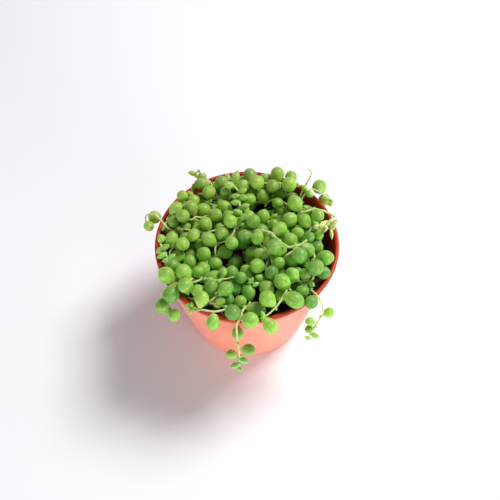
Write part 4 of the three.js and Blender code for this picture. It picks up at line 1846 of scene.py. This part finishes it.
# ---------------- pot
@dataclass
class Pot:
    """The nursery pot: a thin tapered wall, a rolled lip, a floor with drain holes and a foot ring."""

    sizes: PotSizes
    sides: int = 160
    lip_steps: int = 14
    wall_steps: int = 12
    foot_ring: float = 2.4
    foot_recess: float = 0.7
    foot_round: float = 0.8
    foot_steps: int = 3
    ring_slope: float = 0.5
    lip_start: float = -50.0
    lip_turn: float = 280.0
    lip_band: float = 2.2
    floor_corner: float = 1.5
    floor_bend: tuple[tuple[float, float], ...] = ((0.5, 0.4), (1.6, 0.0))
    drill_sides: int = 32
    sharp_over: float = 38.0

    def _lip(self) -> list[tuple[float, float]]:
        """The round lip's section, from the outside of the wall over the top to the inside.

        Returns:
            The points as radius and height.
        """
        (out, up), radius = self.sizes.lip_centre, self.sizes.lip
        shares = [k / self.lip_steps for k in range(self.lip_steps + 1)]
        turns = [math.radians(self.lip_start + self.lip_turn * share) for share in shares]
        return [(out + radius * math.cos(t), up + radius * math.sin(t)) for t in turns]

    def _outline(self) -> list[tuple[float, float]]:
        """Half of the pot's section in millimetres, as radius and height.

        Returns:
            The corners in order, from the middle of the underside over the lip to the floor inside.
        """
        sizes = self.sizes
        top, corner = sizes.lip_centre[1] - sizes.lip, sizes.floor + self.floor_corner
        inner_ring = sizes.base - self.foot_ring
        recess, bend = self.foot_recess, self.foot_round
        outline = [(0.0, recess), (inner_ring - self.ring_slope, recess), (inner_ring, 0.0)]
        for k in range(self.foot_steps + 1):
            turn = math.radians(90 * k / self.foot_steps - 90)
            outline.append((sizes.base - bend + bend * math.cos(turn), bend + bend * math.sin(turn)))
        for k in range(1, self.wall_steps):
            z = bend + (top - bend) * k / self.wall_steps
            outline.append((sizes.inner(z) + sizes.wall, z))
        outline += self._lip()
        for k in range(self.wall_steps):
            z = top - (top - corner) * k / self.wall_steps
            outline.append((sizes.inner(z), z))
        outline.append((sizes.inner(corner), corner))
        foot = sizes.inner(sizes.floor)
        outline += [(foot - back, sizes.floor + up) for back, up in self.floor_bend]
        return [*outline, (0.0, sizes.floor)]

    def _turned(self) -> Mesh:
        """The section turned round the pot's axis, in metres, with closed poles.

        Returns:
            The closed solid.
        """
        solid = bmesh.new()
        outline = self._outline()
        join_rings(solid, [
            ring_at(solid, radius, height, self.sides if radius else 1) for radius, height in outline
        ])
        bmesh.ops.recalc_face_normals(solid, faces=solid.faces)
        return meshed(solid, "pot_turned")

    def _drills(self) -> Object:
        """The tool that cuts the drain holes: one round bar for each.

        Returns:
            The bars as one mesh.
        """
        tool = bmesh.new()
        for k in range(self.sizes.drain_holes):
            turn = 2 * math.pi * k / self.sizes.drain_holes
            at = Vector((math.cos(turn), math.sin(turn), 0.0)) * self.sizes.drain_ring * MM
            made = bmesh.ops.create_cone(
                tool, cap_ends=True, segments=self.drill_sides, radius1=self.sizes.drain_radius * MM,
                radius2=self.sizes.drain_radius * MM, depth=4 * self.sizes.floor * MM,
            )
            bmesh.ops.translate(tool, verts=made["verts"], vec=at)
        return linked("drain_drills", meshed(tool, "drain_drills"))

    def _marked(self, mesh: Mesh) -> Mesh:
        """The mesh with its outside and its lip marked for the finish.

        Args:
            mesh: The pot's mesh.

        Returns:
            The same mesh.
        """
        rows = np.array([vertex.co for vertex in mesh.vertices]) / MM
        out, up = np.hypot(rows[:, 0], rows[:, 1]), rows[:, 2]
        inner = np.array([self.sizes.inner(z) for z in up])
        lip = (up > self.sizes.height - self.lip_band * self.sizes.lip).astype(float)
        outer = (out > inner + self.sizes.wall / 2) & (lip < 0.5)
        return carrying(mesh, {"lip": lip, "outer": outer.astype(float)})

    def build(self, finishes: Finishes) -> None:
        """Makes the pot and puts it in its place.

        Args:
            finishes: Every finish.
        """
        piece, drills = linked("pot_shell", self._turned()), self._drills()
        cut = piece.modifiers.new("drain_holes", "BOOLEAN")
        cut.operation, cut.solver, cut.object = "DIFFERENCE", "EXACT", drills
        mesh = self._marked(applied(piece, cut))
        bpy.data.objects.remove(drills)
        mesh.shade_smooth()
        mesh.set_sharp_from_angle(angle=math.radians(self.sharp_over))
        mesh.materials.clear()
        mesh.materials.append(finishes.pot)
        settle(piece, Slot.POT, "pot")


# ---------------- soil
@dataclass
class Soil:
    """The potting soil: a plug that fills the pot, with crumbs, fibres and grains on top."""

    sizes: PotSizes
    gap: float = 0.3
    sides: int = 96
    rings: int = 26
    lumps: float = 1.1
    waves: tuple[float, float] = (0.16, 0.21)
    lump_scale: float = 0.22
    crumb_scale: float = 0.9
    tone: float = 0.2
    sunk: float = 0.4
    shoulder: float = 3.0
    half_way: float = 30.0

    def _height(self, x: float, y: float) -> float:
        """The surface: long swells with small lumps on them.

        Args:
            x: The place in millimetres.
            y: The same.

        Returns:
            The height there in millimetres.
        """
        (east, north), pot = self.waves, self.sizes
        swell = pot.soil_swell * math.sin(east * x + 1) * math.cos(north * y - 0.5)
        coarse = noise.fractal(Vector((x, y, 3.0)) * self.lump_scale, 0.8, 2.2, 3)
        fine = noise.noise(Vector((x, y, 9.0)) * self.crumb_scale)
        return pot.soil_top + swell + self.lumps * (0.7 * coarse + 0.3 * fine) - self.sunk

    def _top(self, solid: BMesh) -> list[Ring]:
        """Adds the rings of the surface, from the middle to the wall.

        Args:
            solid: The mesh being built.

        Returns:
            The rings of its points.
        """
        edge = self.sizes.inner(self.sizes.soil_top) - self.gap
        rings = [[solid.verts.new((0, 0, self._height(0, 0) * MM))]]
        for ring in range(1, self.rings + 1):
            radius = edge * ring / self.rings
            row = []
            for k in range(self.sides):
                turn = 2 * math.pi * (k + 0.5 * (ring % 2)) / self.sides
                x, y = radius * math.cos(turn), radius * math.sin(turn)
                row.append(solid.verts.new((x * MM, y * MM, self._height(x, y) * MM)))
            rings.append(row)
        return rings

    def _plug(self, closed: bool) -> Mesh:
        """The soil as a mesh.

        Args:
            closed: Whether the sides and the bottom are made too.

        Returns:
            The mesh, in metres.
        """
        solid = bmesh.new()
        rings = self._top(solid)
        join_rings(solid, rings)
        if closed:
            bottom = self.sizes.floor + self.gap
            heights = (self.sizes.soil_top - self.shoulder, self.half_way, bottom)
            sides = [
                ring_at(solid, self.sizes.inner(z) - self.gap, z, self.sides) for z in heights
            ]
            join_rings(solid, [rings[-1], *sides, ring_at(solid, 0.0, bottom, 1)])
            bmesh.ops.recalc_face_normals(solid, faces=solid.faces)
        return meshed(solid, "soil_plug")

    def build(self, finishes: Finishes) -> None:
        """Makes the plug and the litter on it, and puts them in their place.

        Args:
            finishes: Every finish.
        """
        mesh = self._plug(closed=True)
        count = len(mesh.vertices)
        carrying(mesh, {"kind": np.zeros(count), "tone": np.full(count, self.tone)})
        mesh.shade_smooth()
        mesh.materials.append(finishes.soil)
        settle(linked("soil_plug", mesh), Slot.SOIL, "soil")
        litter = litter_former().run("soil_litter", self._plug(closed=False), Finish=finishes.soil)
        settle(litter, Slot.SOIL, "soil")


# ---------------- strands
@dataclass
class Chain:
    """Points in a row that a tube follows, each with its thickness and its marks, in millimetres."""

    at: list[np.ndarray]
    thick: list[float]
    along: list[float]
    joint: list[float]


@dataclass
class LeafPlace:
    """Where one leaf hangs: its centre, its axis away from the stem and its size, in millimetres."""

    centre: np.ndarray
    axis: np.ndarray
    radius: float
    youth: float
    tone: float


LIVE_FORM = {
    "Slimness": 0.08, "Flatness": 0.0, "Young_Stretch": 0.5, "Curl": 0.12,
    "Wrinkle_Scale": 300.0, "Wrinkle_Depth": 0.3 * MM,
}
DRY_FORM = {
    "Slimness": 0.05, "Flatness": 0.4, "Young_Stretch": 0.95, "Curl": 0.4,
    "Wrinkle_Scale": 520.0, "Wrinkle_Depth": 1.5 * MM,
}


@dataclass
class StrandMaker:
    """Makes the stems and leaves of one strand after another."""

    sizes: StrandSizes
    finishes: Finishes
    chance: Chance
    root_thick: float = 0.68
    tip_thick: float = 0.47
    cut_thick: float = 0.66
    joint_swell: float = 0.14
    stalk_thick: float = 0.4
    young_below: float = 2.25
    live_wrinkle: float = 0.12
    dry_wrinkle: float = 0.4
    leaflet: float = 1.0
    leaflet_range: float = 0.4
    tuft: int = 4
    neck_end: float = 1.14
    stalk_lean: float = 0.28
    stalk_inside: float = 0.4
    full_leaf: float = 4.0
    plumpness: tuple[tuple[float, float], ...] = ((0.96, 0.06), (0.96, 0.06), (0.99, 0.09))
    pearls: Former = field(default_factory=pearl_former)
    stems: Former = field(default_factory=stem_former)

    def _tangent(self, strand: Strand, point: int) -> np.ndarray:
        """The way a stem runs at one of its points."""
        last = len(strand.points) - 1
        return unit(strand.points[min(last, point + 1)] - strand.points[max(0, point - 1)])

    def _stem(self, strand: Strand) -> Chain:
        """The main stem of a strand, thinner towards its tip and swollen where leaves grow.

        Args:
            strand: The strand.

        Returns:
            The stem's points and what each carries.
        """
        last = len(strand.points) - 1
        end_thick = self.cut_thick if strand.cut else self.tip_thick
        joints = {leaf.point for leaf in strand.leaves}
        chain = Chain([], [], [], [])
        for k, at in enumerate(strand.points):
            along = k / last
            swell = self.joint_swell if k in joints else 0.0
            thin = self.root_thick + (end_thick - self.root_thick) * along**0.7
            chain.at.append(at)
            chain.thick.append(thin * (0.92 + 0.16 * self.chance.draw()) + swell)
            chain.along.append(along)
            chain.joint.append(1.0 if k in joints else 0.0)
        return chain

    def _stalk(self, strand: Strand, leaf: Leaf, place: LeafPlace) -> Chain:
        """The stalk of a leaf, which leaves the stem along its way and bends out to the leaf.

        Args:
            strand: The strand.
            leaf: The leaf.
            place: Where the leaf hangs.

        Returns:
            The stalk's points and what each carries.
        """
        start = strand.points[leaf.point]
        end = place.centre - place.axis * place.radius * self.neck_end
        gap = end - start
        lean = self._tangent(strand, leaf.point) * length(gap) * self.stalk_lean
        at = [start, start + 0.4 * gap + lean, start + 0.75 * gap + 0.55 * lean, end]
        at.append(end + place.axis * place.radius * self.stalk_inside)
        thick = self.stalk_thick * (0.75 + 0.25 * min(1.0, place.radius / self.full_leaf))
        along = leaf.point / (len(strand.points) - 1)
        # A stalk is thickest and greenest where it joins the stem and the leaf.
        thicks = [thick * share for share in (1.2, 0.95, 0.9, 1.05, 1.3)]
        return Chain(at, thicks, [min(1.0, along + 0.25)] * 5, [0.5, 0.1, 0.0, 0.2, 0.4])

    def _places(self, strand: Strand) -> list[LeafPlace]:
        """The strand's own leaves.

        Args:
            strand: The strand.

        Returns:
            A place for each leaf, in order.
        """
        places = []
        for leaf in strand.leaves:
            axis = unit(leaf.centre - strand.points[leaf.point])
            pointed = strand.life is not Life.GREEN or leaf.radius < self.young_below
            youth = 1.0 if pointed else 0.0
            places.append(LeafPlace(leaf.centre, axis, leaf.radius, youth, self.chance.draw()))
        return places

    def _leaflet(self, start: np.ndarray, axis: np.ndarray, least: float, off: float) -> LeafPlace:
        """A tiny new leaf.

        Args:
            start: The place on the stem that it grows from.
            axis: The way it points.
            least: Its least size, as a share of a usual one.
            off: How far its centre is from the start, in its own radii.

        Returns:
            Its place.
        """
        radius = self.leaflet * (least + self.leaflet_range * self.chance.draw())
        return LeafPlace(start + axis * radius * off, axis, radius, 1.0, self.chance.draw())

    def _leaflets(self, strand: Strand) -> list[LeafPlace]:
        """Tiny new leaves: a tuft at the tip unless it is cut, and a bud by every other leaf.

        Args:
            strand: The strand.

        Returns:
            A place for each new leaf.
        """
        tip, way = strand.points[-1], self._tangent(strand, len(strand.points) - 1)
        askew = np.array([0.31, 0.22, 0.93])
        side = unit(np.cross(way, askew))
        other = np.cross(way, side)
        places = []
        for k in range(0 if strand.cut else self.tuft):
            turn = 2 * math.pi * (k + self.chance.draw() * 0.5) / self.tuft
            axis = unit(way * 0.9 + side * math.cos(turn) * 0.6 + other * math.sin(turn) * 0.6)
            places.append(self._leaflet(tip, axis, 0.8, 1.1))
        for leaf in strand.leaves[1::2]:
            start = strand.points[leaf.point]
            out = unit(leaf.centre - start)
            axis = unit(self._tangent(strand, leaf.point) * 0.8 - out * 0.9)
            places.append(self._leaflet(start, axis, 0.7, 1.3))
        return places

    def _leaf_mesh(self, name: str, places: list[LeafPlace]) -> Mesh:
        """A point for each leaf, which carries what its form needs.

        Args:
            name: The mesh's name.
            places: Where the leaves hang.

        Returns:
            The points, in metres.
        """
        mesh = bpy.data.meshes.new(name)
        mesh.from_pydata([tuple(place.centre * MM) for place in places], [], [])
        plump = [
            [least + spread * self.chance.draw() for least, spread in self.plumpness] for _ in places
        ]
        sides = []
        for place in places:
            turn = 2 * math.pi * self.chance.draw()
            spun = np.array([math.cos(turn), math.sin(turn), 1.2])
            sides.append(unit(spun - place.axis * float(spun @ place.axis)))
        radii = np.array([place.radius for place in places])
        return carrying(mesh, {
            "axis": np.array([place.axis for place in places]), "side": np.array(sides),
            "size": np.array(plump) * radii[:, None] * MM,
            "youth": np.array([place.youth for place in places]),
            "tone": np.array([place.tone for place in places]),
        })

    def _chain_mesh(self, name: str, chains: list[Chain]) -> Mesh:
        """Every chain of a strand as points joined by edges, with what the tubes need.

        Args:
            name: The mesh's name.
            chains: The stem and the stalks.

        Returns:
            The points and edges, in metres.
        """
        points, edges = [], []
        for chain in chains:
            first = len(points)
            points += [tuple(at * MM) for at in chain.at]
            edges += [(first + k, first + k + 1) for k in range(len(chain.at) - 1)]
        mesh = bpy.data.meshes.new(name)
        mesh.from_pydata(points, edges, [])
        return carrying(mesh, {
            "thick": np.array([t for chain in chains for t in chain.thick]) * MM,
            "along": np.array([a for chain in chains for a in chain.along]),
            "joint": np.array([j for chain in chains for j in chain.joint]),
        })

    def build(self, strand: Strand) -> None:
        """Makes a strand's stem with the leaf stalks, and its leaves if it has any.

        Args:
            strand: The strand, settled in its place.
        """
        green = strand.life is not Life.DRY
        places = self._places(strand)
        chains = [self._stem(strand)]
        for leaf, place in zip(strand.leaves, places):
            chains.append(self._stalk(strand, leaf, place))
        stem = self.stems.run(
            f"{strand.name}_stem", self._chain_mesh("chains", chains),
            Finish=self.finishes.stem if green else self.finishes.dry,
            Wrinkle_Depth=(self.live_wrinkle if green else self.dry_wrinkle) * MM,
        )
        settle(stem, Slot.STEM if green else Slot.DRY, strand.name)
        if green:
            places += self._leaflets(strand)
        if not places:
            return
        leaves = self.pearls.run(
            f"{strand.name}_leaves", self._leaf_mesh("points", places),
            Finish=self.finishes.leaf if green else self.finishes.dry,
            **(LIVE_FORM if green else DRY_FORM),
        )
        settle(leaves, Slot.LEAF if green else Slot.DRY, strand.name)


# ---------------- studio
@dataclass(frozen=True)
class Lamp:
    """A soft square light: where it is, where it points and its width in metres, and its watts."""

    name: str
    place: tuple[float, float, float]
    aim: tuple[float, float, float]
    width: float
    power: float
    tint: tuple[float, float, float] = (1.0, 1.0, 1.0)


@dataclass
class Studio:
    """A pale floor, soft lights and the camera, round the pot. Lengths are in metres, the lens in mm."""

    rim: Vector
    elevation: float = math.radians(55.2)
    distance: float = 0.3675
    lens: float = 46.47
    sensor: float = 36.0
    nearest: float = 0.01
    farthest: float = 20.0
    right: float = 0.00171
    up: float = -0.00564
    floor_half: float = 3.0
    sky: Colour = (0.9, 0.9, 0.92, 1.0)
    sky_strength: float = 0.29
    lamps: tuple[Lamp, ...] = (
        Lamp("key_light", (0.78, 0.55, 1.28), (0.0, 0.0, 0.04), 0.6, 25.0, (1.0, 0.99, 0.97)),
        Lamp("fill_light", (0.5, -0.6, 0.1), (0.0, 0.0, 0.07), 0.26, 3.3, (1.0, 0.99, 0.96)),
        Lamp("left_light", (-0.5, -0.62, 0.09), (0.0, 0.0, 0.03), 0.3, 3.2, (1.0, 1.0, 1.0)),
    )

    def _floor(self, finishes: Finishes) -> None:
        """A level floor that the pot stands on.

        Args:
            finishes: Every finish.
        """
        half = self.floor_half
        mesh = bpy.data.meshes.new("floor")
        corners = [(-half, -half, 0), (half, -half, 0), (half, half, 0), (-half, half, 0)]
        mesh.from_pydata(corners, [], [(0, 1, 2, 3)])
        mesh.materials.append(finishes.floor)
        linked("floor", mesh)

    def _light(self, lamp: Lamp) -> None:
        """One soft light that points at its aim.

        Args:
            lamp: The light's place, aim, width and power.
        """
        light = bpy.data.lights.new(lamp.name, "AREA")
        light.size, light.energy, light.color = lamp.width, lamp.power, lamp.tint
        holder = linked(lamp.name, light)
        holder.location = lamp.place
        way = Vector(lamp.aim) - Vector(lamp.place)
        holder.rotation_euler = way.to_track_quat("-Z", "Y").to_euler()

    def _camera(self) -> None:
        """The camera, which looks down at the plant from the front."""
        ahead = Vector((0.0, math.cos(self.elevation), -math.sin(self.elevation)))
        over = Vector((0.0, math.sin(self.elevation), math.cos(self.elevation)))
        aim = self.rim + Vector((self.right, 0.0, 0.0)) + over * self.up
        camera = bpy.data.cameras.new("camera")
        camera.lens, camera.sensor_width = self.lens, self.sensor
        camera.clip_start, camera.clip_end = self.nearest, self.farthest
        holder = linked("camera", camera)
        holder.location = aim - ahead * self.distance
        holder.rotation_euler = ahead.to_track_quat("-Z", "Y").to_euler()
        bpy.context.scene.camera = holder

    def build(self, finishes: Finishes) -> None:
        """Sets up the floor, the sky, the lights and the camera.

        Args:
            finishes: Every finish.
        """
        self._floor(finishes)
        world = bpy.data.worlds.new("studio")
        world.use_nodes = True
        sky = world.node_tree.nodes["Background"]
        sky.inputs["Color"].default_value = self.sky
        sky.inputs["Strength"].default_value = self.sky_strength
        bpy.context.scene.world = world
        for lamp in self.lamps:
            self._light(lamp)
        self._camera()
        bpy.context.scene.view_settings.view_transform = "Standard"


def main() -> None:
    """Builds the pot, the soil, the strands and the studio, in that order."""
    logging.basicConfig(level=logging.INFO, format="%(name)s: %(message)s")
    pot, sizes, crowding = PotSizes(), StrandSizes(), Crowding()
    finishes = Finishes.mixed()
    Pot(pot).build(finishes)
    Soil(pot).build(finishes)
    planted = Grower(pot, sizes, crowding, Chance(SEED)).planted()
    strands = Settler(pot, sizes, crowding).settled(planted)
    maker = StrandMaker(sizes, finishes, Chance(SEED))
    for strand in strands:
        maker.build(strand)
    Studio(Vector((0.0, 0.0, pot.height * MM))).build(finishes)


if __name__ == "__main__":
    main()
